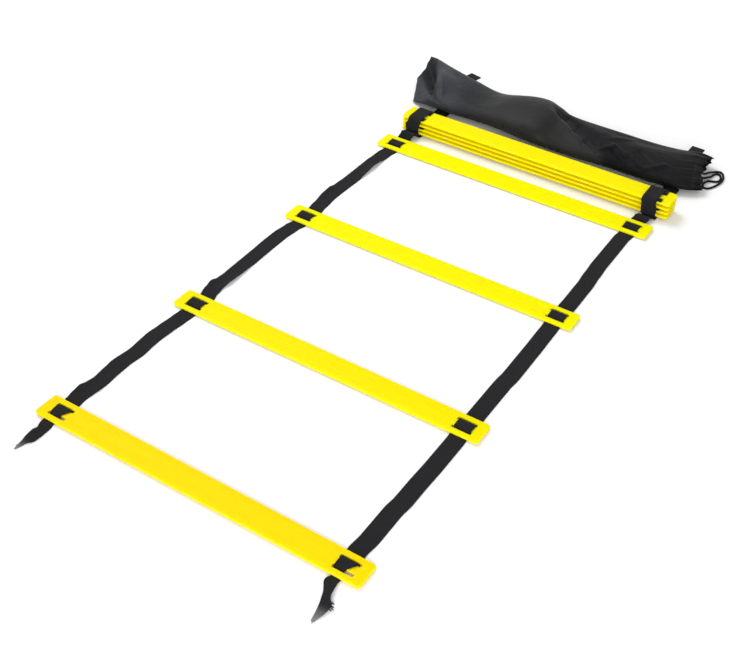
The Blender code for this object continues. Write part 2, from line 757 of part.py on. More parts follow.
def build():
    """Make every piece."""
    clear_scene()
    plastic = make_material("rung plastic", (0.93, 0.80, 0.01), 0.34)
    webbing = make_material("strap webbing", (0.022, 0.022, 0.026), 0.82)
    nylon = make_material("bag nylon", (0.040, 0.042, 0.048), 0.50)
    tape = make_material("bag webbing", (0.028, 0.028, 0.032), 0.80)
    cord = make_material("drawstring cord", (0.020, 0.020, 0.022), 0.70)
    items = []
    shared_rung = rung_mesh()

    # Stacked rungs, counted on from the laid ones
    for layer in range(STACKED_RUNGS):
        base = STACK_BASE + layer * STACK_PITCH
        place = (STACK_SIDE_OFFSET, STACK_Y, base + RUNG_THICKNESS / 2)
        name = f"rung_{LAID_RUNGS + layer + 1}"
        items.append(add_object(name, shared_rung, place, plastic))

    # Laid rungs with the strap over their middle bars
    sides = (("left", -1), ("right", 1))
    for index in range(LAID_RUNGS):
        number = index + 1
        y = index * RUNG_PITCH
        place = (0.0, y, LAID_BASE + RUNG_THICKNESS / 2)
        items.append(add_object(f"rung_{number}", shared_rung, place, plastic))
        for label, side in sides:
            name = f"saddle_{number}_{label}"
            corners = saddle_corners(y)
            items.append(build_strap(name, corners, side, place, webbing))

    # Fold lines: halfway between rungs, alternately under and over the strap
    top_fold = (STACK_TOP + CLEARANCE + LAID_HEIGHT) / 2
    over_fold = LAID_HEIGHT + HINGE_CLEARANCE
    folds = {}
    for index in range(LAID_RUNGS):
        fold_y = index * RUNG_PITCH + RUNG_PITCH / 2
        level = -HINGE_CLEARANCE if (LAID_RUNGS - index) % 2 == 0 else over_fold
        folds[index] = (0.0, fold_y, level)
    last = LAID_RUNGS - 1
    folds[last] = (0.0, last * RUNG_PITCH + STACK_SPACING / 2, top_fold)

    # Strap halves between the rungs
    for index in range(LAID_RUNGS):
        number = index + 1
        y = index * RUNG_PITCH
        hinge = folds[index]
        for label, side in sides:
            if index == last:
                rear = last_bay_corners(y)
            else:
                rear = half_bay_corners(y, 1)
            name = f"strap_{number}_rear_{label}"
            items.append(build_strap(name, rear, side, hinge, webbing))
            if index > 0:
                front = half_bay_corners(y, -1)
                name = f"strap_{number}_front_{label}"
                items.append(build_strap(name, front, side, hinge, webbing))
    items.append(build_tail(
        "strap_tail_left", -1, LEFT_TAIL_LENGTH, LEFT_TAIL_SHARES, folds[0], webbing))
    items.append(build_tail(
        "strap_tail_right", 1, RIGHT_TAIL_LENGTH, RIGHT_TAIL_SHARES, folds[0], webbing))

    # Straps wound round and through the stack
    stack_origin = (0.0, STACK_Y, 0.0)
    for label, side in sides:
        name = f"strap_stack_{label}"
        items.append(build_strap(
            name, stack_corners(side), side, stack_origin, webbing))

    # Carry bag
    bag_origin = Vector((BAG_LEFT_X + BAG_LENGTH / 2, BAG_FRONT_Y + BAG_DEPTH / 2, 0.0))
    hem_share = 1 - BAG_HEM_WIDTH / BAG_LENGTH
    shell_share = hem_share - CLEARANCE / BAG_LENGTH
    shell = loft_mesh("bag_shell", bag_shares(0.0, shell_share), bag_origin)
    items.append(add_object("bag_shell", shell, bag_origin, nylon))
    hem = loft_mesh("bag_mouth_hem", bag_shares(hem_share, 1.0), bag_origin)
    items.append(add_object("bag_mouth_hem", hem, bag_origin, nylon))
    items.append(build_tab("bag_tab_left", BAG_LEFT_TAB_SHARE, bag_origin, tape))
    items.append(build_tab("bag_tab_right", BAG_RIGHT_TAB_SHARE, bag_origin, tape))
    drawstring = build_drawstring("bag_drawstring", bag_origin, cord)
    items.append(drawstring)

    centre_on_floor(items, [drawstring])


build()
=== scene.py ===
"""Looks of the agility ladder: rungs, webbing straps, carry bag, floor, light and camera.

Metres, +Z up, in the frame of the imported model: X along the rungs, Y along the straps away
from the loose tails, the floor at Z = 0.
"""

import math

import bmesh
import bpy
from mathutils import Matrix, Vector, noise
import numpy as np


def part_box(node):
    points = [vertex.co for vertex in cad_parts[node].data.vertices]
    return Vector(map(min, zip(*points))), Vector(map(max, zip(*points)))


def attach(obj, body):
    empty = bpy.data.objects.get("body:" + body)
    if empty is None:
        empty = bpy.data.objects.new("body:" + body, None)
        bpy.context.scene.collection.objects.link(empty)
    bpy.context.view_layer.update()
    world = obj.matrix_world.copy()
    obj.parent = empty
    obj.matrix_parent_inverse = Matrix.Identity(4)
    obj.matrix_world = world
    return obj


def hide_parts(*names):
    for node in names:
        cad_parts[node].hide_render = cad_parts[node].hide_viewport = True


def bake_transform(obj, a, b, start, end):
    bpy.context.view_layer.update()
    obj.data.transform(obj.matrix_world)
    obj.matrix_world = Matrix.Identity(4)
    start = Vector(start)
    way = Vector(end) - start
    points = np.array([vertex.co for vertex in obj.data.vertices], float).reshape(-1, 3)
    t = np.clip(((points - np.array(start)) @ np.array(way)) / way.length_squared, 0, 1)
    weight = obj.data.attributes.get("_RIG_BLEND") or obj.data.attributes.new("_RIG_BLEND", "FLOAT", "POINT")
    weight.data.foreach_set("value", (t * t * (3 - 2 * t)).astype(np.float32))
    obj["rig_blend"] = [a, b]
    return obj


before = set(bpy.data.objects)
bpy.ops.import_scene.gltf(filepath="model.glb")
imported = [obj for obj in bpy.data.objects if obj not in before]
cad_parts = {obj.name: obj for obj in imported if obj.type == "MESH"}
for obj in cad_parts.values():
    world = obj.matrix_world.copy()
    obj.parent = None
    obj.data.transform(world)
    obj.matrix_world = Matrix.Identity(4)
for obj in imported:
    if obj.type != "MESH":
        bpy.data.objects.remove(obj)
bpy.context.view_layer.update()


# Rungs
# A rung is a flat strip of bright yellow plastic, moulded in one piece with rounded
# corners and broken edges. Its yellow is painted a little deeper or paler from rung to
# rung, painted light for how the light falls on it. Two slots near each end leave a
# middle bar for the strap. Handling leaves fine scuffs and duller edges.

RUNG_LENGTH = 0.500
RUNG_WIDTH = 0.038
RUNG_THICKNESS = 0.0038
RUNG_CORNER = 0.0045
RUNG_EDGE = 0.0006
STRAP_LINE = 0.221
SLOT_LENGTH = 0.029
SLOT_NEAR = 0.0055
SLOT_FAR = 0.011
SLOT_CORNER = 0.001
# Painted light: each rung's share of YELLOW to LEMON stands in for how the light falls on it
PAINTED_LIGHT_TINTS = {1: 0.0, 2: 0.50, 3: 0.92, 4: 1.0, 5: 0.62, 6: 0.55, 7: 0.62, 8: 0.70}
YELLOW = (1.0, 0.690, 0.001, 1.0)
LEMON = (0.97, 0.880, 0.001, 1.0)
AMBER = (1.0, 0.60, 0.0, 1.0)
WORN_YELLOW = (1.0, 0.86, 0.04, 1.0)
LAID = (1, 2, 3, 4)
STACKED = (5, 6, 7, 8)


class Wire:
    """A node's socket that can be used in sums, in a shader or a geometry tree."""

    def __init__(self, tree, socket=None):
        self.tree = tree
        self.socket = socket

    def node(self, kind, inputs=None, output=0, **settings):
        """A new node: values or links for its sockets, the output to use and its settings."""
        made = self.tree.nodes.new(kind)
        for name, value in settings.items():
            setattr(made, name, value)
        for key, value in (inputs or {}).items():
            if isinstance(value, Wire):
                self.tree.links.new(value.socket, made.inputs[key])
            else:
                made.inputs[key].default_value = value
        return Wire(self.tree, made.outputs[output])

    def math(self, operation, *others):
        """This value through a Math node."""
        return self.node("ShaderNodeMath", dict(enumerate((self, *others))), operation=operation)

    def __add__(self, other):
        return self.math("ADD", other)

    __radd__ = __add__

    def __mul__(self, other):
        return self.math("MULTIPLY", other)

    def __sub__(self, other):
        return self.math("SUBTRACT", other)

    def __rsub__(self, other):
        return self.node("ShaderNodeMath", {0: other, 1: self}, operation="SUBTRACT")

    def __truediv__(self, other):
        return self.math("DIVIDE", other)

    def __abs__(self):
        return self.math("ABSOLUTE")

    def fade(self, low, high, start=0.0, end=1.0):
        """Smooth change from start at low to end at high."""
        inputs = {0: self, 1: low, 2: high, 3: start, 4: end}
        return self.node("ShaderNodeMapRange", inputs, interpolation_type="SMOOTHSTEP")

    def blend(self, first, second):
        """A colour between first, where this value is 0, and second, where it is 1."""
        return self.node("ShaderNodeMix", {0: self, 6: first, 7: second}, 2, data_type="RGBA")

    def noise(self, scale, detail, distortion=0.0):
        """Cloudy noise at this place."""
        inputs = {"Vector": self, "Scale": scale, "Detail": detail, "Distortion": distortion}
        return self.node("ShaderNodeTexNoise", inputs)

    def split(self):
        """The first two parts of a vector."""
        parts = self.node("ShaderNodeSeparateXYZ", {0: self})
        return parts, Wire(self.tree, parts.socket.node.outputs[1])

    def where(self):
        """The place in the shared frame."""
        return self.node("ShaderNodeTexCoord", {}, "Object")

    def chart(self):
        """The two directions of the surface's flat map."""
        return self.node("ShaderNodeUVMap", uv_map="UVMap").split()


def new_material(name, constants):
    """A material and a wire to start its formulas from; constants set the shader."""
    material = bpy.data.materials.new(name)
    material.use_nodes = True
    shader = material.node_tree.nodes["Principled BSDF"]
    for key, value in constants.items():
        shader.inputs[key].default_value = value
    return material, Wire(material.node_tree)


def connect(material, ends, height=None, depth=0.0001):
    """Link a wire to each named socket of the material's shader, and a bump height."""
    tree = material.node_tree
    if height:
        bump = height.node("ShaderNodeBump", {"Height": height, "Distance": depth})
        ends = {**ends, "Normal": bump}
    for key, wire in ends.items():
        tree.links.new(wire.socket, tree.nodes["Principled BSDF"].inputs[key])


def rung_finish():
    """Satin yellow plastic with scuffs along the rung and paler broken edges."""
    material, start = new_material("rung_plastic", {
        "Specular IOR Level": 0.022, "Subsurface Weight": 0.60,
        "Subsurface Radius": (1.0, 0.85, 0.08), "Subsurface Scale": 0.006})
    along, across = start.chart()
    where = start.where()
    grain = where.noise(1400.0, 3.0)
    patch = where.noise(55.0, 4.0)
    wave = where.noise(16.0, 1.0)
    lengthwise = {"Vector": where, "Scale": (14.0, 260.0, 260.0)}
    scuff = where.node("ShaderNodeMapping", lengthwise).noise(1.0, 6.0)
    edge = (RUNG_WIDTH / 2 - abs(across)).math("MINIMUM", RUNG_LENGTH / 2 - abs(along))
    slot_end = abs(abs(along) - STRAP_LINE) - SLOT_LENGTH / 2
    slot_side = abs(abs(across) - (SLOT_NEAR + SLOT_FAR) / 2) - (SLOT_FAR - SLOT_NEAR) / 2
    rim = edge.math("MINIMUM", slot_end.math("MAXIMUM", slot_side))
    worn = rim.fade(0.0001, 0.0016, 1.0, 0.0) * patch.fade(0.42, 0.62)
    scuffed = scuff.fade(0.56, 0.72) * patch.fade(0.38, 0.58)
    # Painted light: each rung's tint toward LEMON, for how the light falls on that rung
    shade = start.node("ShaderNodeAttribute", {}, "Fac", attribute_name="shade")
    tinted = patch.fade(0.25, 0.75, 0.0, 0.08).blend(shade.blend(YELLOW, LEMON), AMBER)
    colour = (worn * 0.40 + scuffed * 0.14).blend(tinted, WORN_YELLOW)
    roughness = 0.38 + grain * 0.06 + scuffed * 0.14 + worn * 0.12
    height = grain * 0.35 + wave * 3.0 - scuffed * 0.5
    connect(material, {"Base Color": colour, "Roughness": roughness}, height, 0.00006)
    return material


def finish_mesh(bm, mesh, sharp):
    """Put the faces into the mesh, turned outward and smooth but for edges of sharp degrees."""
    bmesh.ops.recalc_face_normals(bm, faces=bm.faces)
    bm.to_mesh(mesh)
    bm.free()
    mesh.shade_smooth()
    mesh.set_sharp_from_angle(angle=math.radians(sharp))
    return mesh


def rung_shape():
    """The rung round its own middle, with a flat map of its length and width."""
    x_lines = [-RUNG_LENGTH / 2]
    for middle in (-STRAP_LINE, STRAP_LINE):
        x_lines += [middle - SLOT_LENGTH / 2, middle + SLOT_LENGTH / 2]
    x_lines.append(RUNG_LENGTH / 2)
    y_lines = [-RUNG_WIDTH / 2, -SLOT_FAR, -SLOT_NEAR, SLOT_NEAR, SLOT_FAR, RUNG_WIDTH / 2]
    bm = bmesh.new()
    grid = [[bm.verts.new((x, y, -RUNG_THICKNESS / 2)) for y in y_lines] for x in x_lines]
    for column in range(5):
        for row in range(5):
            if column in (1, 3) and row in (1, 3):
                continue
            bm.faces.new((grid[column][row], grid[column + 1][row],
                          grid[column + 1][row + 1], grid[column][row + 1]))
    raised = bmesh.ops.extrude_face_region(bm, geom=list(bm.faces))
    tops = [item for item in raised["geom"] if isinstance(item, bmesh.types.BMVert)]
    bmesh.ops.translate(bm, vec=(0.0, 0.0, RUNG_THICKNESS), verts=tops)
    bmesh.ops.recalc_face_normals(bm, faces=bm.faces)
    outer = []
    slots = []
    for edge in bm.edges:
        first, second = (vert.co for vert in edge.verts)
        if abs(first.z - second.z) < 0.001 or edge.calc_face_angle(0.0) < 0.6:
            continue
        at_corner = abs(first.x) > RUNG_LENGTH / 2 - 0.001 and abs(first.y) > RUNG_WIDTH / 2 - 0.001
        (outer if at_corner else slots).append(edge)
    bmesh.ops.bevel(bm, geom=outer, offset=RUNG_CORNER, segments=9, profile=0.5, affect="EDGES")
    slots = [edge for edge in slots if edge.is_valid]
    bmesh.ops.bevel(bm, geom=slots, offset=SLOT_CORNER, segments=4, profile=0.5, affect="EDGES")
    rims = [edge for edge in bm.edges if edge.calc_face_angle(0.0) > 1.0]
    bmesh.ops.bevel(bm, geom=rims, offset=RUNG_EDGE, segments=3, profile=0.5, affect="EDGES")
    chart = bm.loops.layers.uv.new("UVMap")
    for face in bm.faces:
        for loop in face.loops:
            loop[chart].uv = loop.vert.co.xy
    return finish_mesh(bm, bpy.data.meshes.new("rung_shape"), 40.0)


def place_piece(name, mesh, material):
    """A finished mesh as a named object at the origin."""
    piece = bpy.data.objects.new(name, mesh)
    bpy.context.scene.collection.objects.link(piece)
    if material:
        mesh.materials.clear()
        mesh.materials.append(material)
    return piece


def middle_of(node):
    """The middle of a node's box."""
    low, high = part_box(node)
    return (Vector(low) + Vector(high)) / 2


plastic = rung_finish()
shape = rung_shape()
for number in LAID + STACKED:
    mesh = shape.copy()
    mesh.transform(Matrix.Translation(middle_of(f"rung_{number}")))
    # The rung's painted light tint
    shade = mesh.attributes.new("shade", "FLOAT", "POINT")
    shade.data.foreach_set("value", [PAINTED_LIGHT_TINTS[number]] * len(mesh.vertices))
    rung = place_piece(f"flat_rung_{number}", mesh, plastic)
    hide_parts(f"rung_{number}")
    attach(rung, f"laid_rung_{number}" if number in LAID else "stack")


# Webbing straps
# Each strap is one length of black 25 mm polypropylene webbing, woven flat and still
# wavy from its roll. It dips under each rung's outer bars and rises through the slots
# over the middle bar, runs on along the floor and winds round and through the stack.

WEB_WIDTH = 0.025
WEB_THICKNESS = 0.0016
HALF_WEB = WEB_THICKNESS / 2
GAP = 0.0003
WEB_STEP = WEB_THICKNESS + GAP
BEND = HALF_WEB + 0.0005 + GAP
WRAP_BEND = BEND + WEB_STEP
WRAP_CORNER = 0.0072
WRAP_FOOT = 0.0038
WRAP_BULGE = 0.0016
SADDLE_LEVEL = WEB_STEP + RUNG_THICKNESS + GAP + HALF_WEB
SLOT_LEAVE = 0.01075
SLOT_REACH = 0.00575
SLOT_CENTRE = 0.00825
SPAN = 0.270
FOLD_REACH = 0.008
LAST_FOLD_REACH = 0.012
# The last laid rung can slide this far toward the stack, so the strap stays flat there
SLIDE_ROOM = 0.0068
SLACK_RISE = {-1: 0.011, 1: 0.006}
SPREAD_OUT = 0.050
# Longest steps between the strap's points, and how near a fold line the short one holds
FLAT_STEP = 0.004
FOLD_STEP = 0.0009
NEAR_FOLD = 0.0125
CORNER_STEP = math.radians(11.0)
# How far past a rung's middle its strap stays with it before it bends toward the fold
HELD_REACH = 0.022
LAST_HELD_REACH = 0.010
# How steeply a lifted edge curls up
CURL = 1.7
# The straps are bunched over the first rung's middle bar: their shift and width at the
# front and rear of both slots
BUNCHED = {
    -1: ((-0.0024, 0.0170), (-0.0020, 0.0178), (0.0002, 0.0238), (-0.0004, 0.0240)),
    1: ((-0.0050, 0.0150), (-0.0042, 0.0166), (-0.0006, 0.0236), (0.0, 0.0240)),
}
WEAVE_COLUMN = 0.00155
WEAVE_ROW = 0.0013
CHARCOAL = (0.0080, 0.0076, 0.0088, 1.0)
# The paler webbing colour: a painted highlight on the yarns' crowns, and the fuzz and dust
CREST_SHEEN_AND_FUZZ = (0.0250, 0.0240, 0.0275, 1.0)
SIDES = (("left", -1), ("right", 1))

# Sideways wander of the laid strap, in millimetres of Y from the first rung: shift from
# the strap line, then the lift of the left and of the right edge
LEFT_WANDER = (
    (12, -0.5, 0, 0), (24, -4, 0.5, 0), (38, -5.6, 1.5, 0), (50, -4.5, 4.5, 0.5), (62, -3, 2, 1),
    (74, -3, 0, 0), (98, -4.5, 0.5, 0.5), (110, -5, 1.5, 0), (122, -5, 1, 0.5), (146, -3, 0, 0),
    (170, -4.5, 0, 0.5), (182, -5, 0.5, 0), (206, -3.5, 0, 0.5), (230, -1.5, 0, 0), (251, 0, 0, 0),
    (289, 0, 0, 0), (310, -4.5, 1.5, 0.5), (324, -6, 3.5, 2), (338, -4.5, 0.5, 4.5),
    (352, -4, 0, 4), (366, -4.5, 0, 2.5), (394, -5, 0, 1), (422, -5.5, 0, 0.5), (450, -6, 0.5, 0),
    (478, -6, 0.5, 0), (506, -3.5, 0, 0), (521, 0, 0, 0), (559, 0, 0, 0), (582, -3, 0, 0),
    (614, -5.5, 2.5, 0), (630, -5.5, 3.5, 0), (646, -5, 0.5, 0), (678, -4, 0, 1), (710, -4, 0, 4),
    (726, -4, 0, 6), (742, -4, 0, 4), (758, -3, 0, 0.5), (774, -2.5, 0, 0), (791, 0, 0, 0),
)
RIGHT_WANDER = [(place, shift, 0, 0) for place, shift in (
    (0, 0), (26, -3), (50, -1), (98, -1), (122, 1), (146, 1), (194, 2), (242, 2), (262, 1),
    (278, 1), (296, 2), (366, 2), (394, 3.5), (450, 3), (506, 2), (530, 1), (550, 1), (582, 1.5),
    (630, 1), (662, -1), (694, -2.5), (774, -3), (795, -1), (830, 0),
)]

rung_line = middle_of("rung_1").x
stack_line = middle_of("rung_5").x
rung_rows = [middle_of(f"rung_{number}").y for number in LAID]
stack_row = middle_of("rung_5").y
stack_spacing = stack_row - rung_rows[-1]
fold_rows = [row + SPAN / 2 for row in rung_rows[:-1]] + [stack_row - stack_spacing / 2]
stack_base = 2 * WEB_STEP
stack_pitch = RUNG_THICKNESS + 2 * WEB_STEP + GAP
leg_offset = RUNG_WIDTH / 2 + GAP + HALF_WEB
wrap_offset = leg_offset + WEB_STEP
entry_level = HALF_WEB + WEB_STEP
wrap_level = stack_base + 3 * stack_pitch + RUNG_THICKNESS + GAP + HALF_WEB + WEB_STEP


def limited(value):
    """The value kept between 0 and 1."""
    return max(0.0, min(1.0, value))


def mix(first, second, share):
    """A row of numbers part of the way from one row to another."""
    return tuple(a + (b - a) * share for a, b in zip(first, second))


def neighbours(points, index):
    """The points before and after one of a line, or the point itself at the line's ends."""
    return points[max(index - 1, 0)], points[min(index + 1, len(points) - 1)]


def table_value(table, place, column):
    """A smooth value between a table's rows."""
    for first, second in zip(table, table[1:]):
        if place <= second[0]:
            share = limited((place - first[0]) / (second[0] - first[0]))
            share = share * share * (3 - 2 * share)
            return first[column] + (second[column] - first[column]) * share
    return table[-1][column]


def round_corners(corners):
    """Points of a line whose corners (y, z, radius, sideways, width) are arcs."""
    points = [corners[0][:2] + corners[0][3:]]
    for before, corner, after in zip(corners, corners[1:], corners[2:]):
        here = Vector(corner[:2])
        arriving = (here - Vector(before[:2])).normalized()
        leaving = (Vector(after[:2]) - here).normalized()
        turn = arriving.angle_signed(leaving, 0.0)
        if corner[2] == 0 or abs(turn) < 0.01:
            points.append(corner[:2] + corner[3:])
            continue
        reach = corner[2] * math.tan(abs(turn) / 2)
        sense = 1.0 if arriving.cross(leaving) > 0 else -1.0
        side = Vector((-arriving.y, arriving.x)) * sense
        centre = here - reach * arriving + corner[2] * side
        steps = max(2, math.ceil(abs(turn) / CORNER_STEP))
        for index in range(steps + 1):
            spoke = Matrix.Rotation(sense * abs(turn) * index / steps, 2) @ (-corner[2] * side)
            points.append(tuple(centre + spoke) + corner[3:])
    points.append(corners[-1][:2] + corners[-1][3:])
    return points


def strap_points(corners):
    """Points of a strap's line: rounded corners, and more points on long straights."""
    points = round_corners(corners)
    full = [points[0]]
    for first, second in zip(points, points[1:]):
        apart = math.hypot(second[0] - first[0], second[1] - first[1])
        if apart < 0.00005:
            continue
        middle = 0.5 * (first[0] + second[0])
        near_fold = min(abs(middle - row) for row in fold_rows) < NEAR_FOLD
        count = max(1, math.ceil(apart / (FOLD_STEP if near_fold else FLAT_STEP)))
        full += [mix(first, second, index / count) for index in range(1, count + 1)]
    return full


def line_mesh(name, points):
    """A mesh of points joined one after the other."""
    mesh = bpy.data.meshes.new(name)
    joins = [(i, i + 1) for i in range(len(points) - 1)]
    mesh.from_pydata([tuple(point) for point in points], joins, [])
    return mesh


def chain_object(name, rows):
    """An object with a vertex for each row, which holds what the weaving tree reads there:
    centre, across, up, half width, the left and right edge's lift and the length so far."""
    mesh = line_mesh(name, [row[0] for row in rows])
    keys = ("centre", "across", "up", "half_width", "lift_left", "lift_right", "along")
    for key, values in zip(keys, zip(*rows)):
        if key in ("centre", "across", "up"):
            layer = mesh.attributes.new(key, "FLOAT_VECTOR", "POINT")
            layer.data.foreach_set("vector", [part for value in values for part in value])
        else:
            layer = mesh.attributes.new(key, "FLOAT", "POINT")
            layer.data.foreach_set("value", values)
    return place_piece(name, mesh, None)


def section_outline(name, ring):
    """A closed outline of (across, level) pairs for the weaving tree."""
    mesh = bpy.data.meshes.new(name)
    edges = [(i, (i + 1) % len(ring)) for i in range(len(ring))]
    mesh.from_pydata([(a * 0.01, b * 0.001, 0.0) for a, b in ring], edges, [])
    for key, column in (("cross", 0), ("level", 1)):
        layer = mesh.attributes.new(key, "FLOAT", "POINT")
        layer.data.foreach_set("value", [pair[column] for pair in ring])
    return place_piece(name, mesh, None)


def flat_ring(columns):
    """Outline of flat webbing with rounded selvedges."""
    crosses = [-0.955 + 1.91 * index / (columns - 1) for index in range(columns)]
    top = [(value, 1.0) for value in reversed(crosses)]
    bottom = [(value, -1.0) for value in crosses]
    left = [(-0.985, 0.72), (-1.0, 0.0), (-0.985, -0.72)]
    right = [(0.985, -0.72), (1.0, 0.0), (0.985, 0.72)]
    return top + left + bottom + right


def start_tree(name, kinds):
    """A new geometry tree with named inputs, and a wire from each of them."""
    tree = bpy.data.node_groups.new(name, "GeometryNodeTree")
    for label, kind in kinds.items():
        tree.interface.new_socket(label, in_out="INPUT", socket_type=f"NodeSocket{kind}")
    tree.interface.new_socket("Geometry", in_out="OUTPUT", socket_type="NodeSocketGeometry")
    entry = tree.nodes.new("NodeGroupInput")
    return tree, [Wire(tree, entry.outputs[i]) for i in range(len(kinds))]


def finish_tree(tree, geometry, material):
    """Make the tree's geometry real, give it its material and lead it out."""
    real = geometry.node("GeometryNodeRealizeInstances", {0: geometry})
    finished = real.node("GeometryNodeSetMaterial", {"Geometry": real, "Material": material})
    tree.links.new(finished.socket, tree.nodes.new("NodeGroupOutput").inputs[0])
    return tree


def named(wire, kind, name):
    """An attribute's value in a geometry tree."""
    return wire.node("GeometryNodeInputNamedAttribute", {"Name": name}, data_type=kind)


def scaled(vector, value):
    """A vector times a value."""
    return vector.node("ShaderNodeVectorMath", {0: vector, "Scale": value}, operation="SCALE")


def summed(first, second):
    """Two vectors added."""
    return first.node("ShaderNodeVectorMath", {0: first, 1: second}, operation="ADD")


def weaving_tree():
    """Sweeps a section along a chain: every point stands at its own width and tilt."""
    tree, (chain, section, thickness, material) = start_tree("sweep_along_chain", {
        "Geometry": "Geometry", "Section": "Object", "Thickness": "Float", "Material": "Material"})
    line = chain.node("GeometryNodeMeshToCurve", {0: chain})
    outline = chain.node("GeometryNodeObjectInfo", {"Object": section}, "Geometry")
    outline = chain.node("GeometryNodeMeshToCurve", {0: outline})
    swept = chain.node("GeometryNodeCurveToMesh",
                       {"Curve": line, "Profile Curve": outline, "Fill Caps": True})
    keys = ("cross", "level", "half_width", "lift_left", "lift_right", "along")
    cross, level, half, lift_left, lift_right, along = (named(chain, "FLOAT", key) for key in keys)
    centre, across, up = (named(chain, "FLOAT_VECTOR", key) for key in ("centre", "across", "up"))
    left = (cross * -1.0).math("MAXIMUM", 0.0).math("POWER", CURL) * lift_left
    right = cross.math("MAXIMUM", 0.0).math("POWER", CURL) * lift_right
    rise = level * thickness * 0.5 + left + right
    spot = summed(centre, summed(scaled(across, cross * half), scaled(up, rise)))
    placed = chain.node("GeometryNodeSetPosition", {"Geometry": swept, "Position": spot})
    chart = chain.node("ShaderNodeCombineXYZ", {0: cross * half, 1: along})
    inputs = {"Geometry": placed, "Name": "UVMap", "Value": chart}
    stored = chain.node("GeometryNodeStoreNamedAttribute", inputs,
                        data_type="FLOAT2", domain="CORNER")
    return finish_tree(tree, stored, material)


def grow(tree, seed_object, name, values):
    """Run a geometry tree on an object and keep the result as a plain mesh."""
    modifier = seed_object.modifiers.new("tree", "NODES")
    modifier.node_group = tree
    for item in tree.interface.items_tree:
        if item.in_out == "INPUT" and item.name in values:
            modifier[item.identifier] = values[item.name]
    graph = bpy.context.evaluated_depsgraph_get()
    mesh = bpy.data.meshes.new_from_object(seed_object.evaluated_get(graph))
    bpy.data.objects.remove(seed_object, do_unlink=True)
    spent = [item.name for item in mesh.attributes
             if item.domain == "POINT" and not item.is_required and not item.name.startswith(".")]
    for key in spent:
        mesh.attributes.remove(mesh.attributes[key])
    bm = bmesh.new()
    bm.from_mesh(mesh)
    mesh.name = name
    return place_piece(name, finish_mesh(bm, mesh, 48.0), None)


def webbing_finish(name, base, top, greying=None):
    """Matt woven polypropylene: columns of yarn with short picks, fuzzy on top, each yarn's
    crown painted paler as a painted highlight and the gaps darker as painted shade. Greying is
    where along the strap it starts and ends to wear grey."""
    material, start = new_material(name, {
        "Specular IOR Level": 0.08, "Sheen Weight": 0.02, "Sheen Roughness": 0.6})
    across, along = start.chart()
    column = across / WEAVE_COLUMN
    row = along / WEAVE_ROW + abs(column.math("FLOOR").math("MODULO", 2.0)) * 0.5
    yarn = abs((column * math.pi).math("SINE"))
    pick = abs((row * math.pi).math("SINE"))
    where = start.where()
    fuzz = where.noise(2600.0, 2.0)
    dust_and_highlight = where.noise(45.0, 4.0)
    woven = yarn.math("POWER", 0.6) * pick.math("POWER", 0.7)
    # Painted highlight on the yarn crowns and painted shade between them; fuzz and dust are real tone
    colour = (woven * 0.55 + fuzz * 0.35 + dust_and_highlight * 0.25 - 0.22).blend(base, top)
    if greying:
        colour = (along.fade(*greying) * (dust_and_highlight * 0.9 + 0.5)).blend(colour, WORN_GREY)
    ends = {"Base Color": colour, "Roughness": 0.78 + dust_and_highlight * 0.14 - woven * 0.08}
    connect(material, ends, woven + fuzz * 0.35, 0.00032)
    return material


def wander_for(table):
    """Sideways shift and edge lifts along one laid strap, none where it folds."""
    def wander(y):
        place = (y - rung_rows[0]) * 1000
        shift, left, right = (table_value(table, place, column) / 1000 for column in (1, 2, 3))
        nearest = min(abs(y - row) for row in fold_rows[:3]) * 1000
        calm = limited((nearest - 9) / 7)
        return shift, left * calm, right * calm
    return wander


def laid_corners(side):
    """The strap from the first rung's front slot to the last fold line."""
    line = rung_line + side * STRAP_LINE
    levels = ((-SLOT_LEAVE, HALF_WEB), (-SLOT_REACH, SADDLE_LEVEL), (SLOT_REACH, SADDLE_LEVEL),
              (SLOT_LEAVE, HALF_WEB))
    corners = []
    for number, row in zip(LAID, rung_rows):
        bunched = BUNCHED[side] if number == 1 else None
        for index, (offset, level) in enumerate(levels):
            shift, width = bunched[index] if bunched else (0.0, WEB_WIDTH)
            if number == 1 and index == 0:
                halfway = (HALF_WEB + SADDLE_LEVEL) / 2
                corners.append((row - SLOT_CENTRE, halfway, 0.0, line + shift, width))
            else:
                corners.append((row + offset, level, BEND, line + shift, width))
        if bunched:
            corners.append((row + SPREAD_OUT, HALF_WEB, 0.0, line, WEB_WIDTH))
    edge = rung_rows[-1] + RUNG_WIDTH / 2
    free = fold_rows[-1] - edge
    drift = stack_line - rung_line
    crest = HALF_WEB + SLACK_RISE[side]
    corners.append((edge + SLIDE_ROOM, HALF_WEB, 0.0022, line, WEB_WIDTH))
    corners.append((edge + free * 0.80, crest, 0.004, line + drift * 0.36, WEB_WIDTH))
    corners.append((fold_rows[-1], crest, 0.0, line + drift * 0.5, WEB_WIDTH))
    return corners


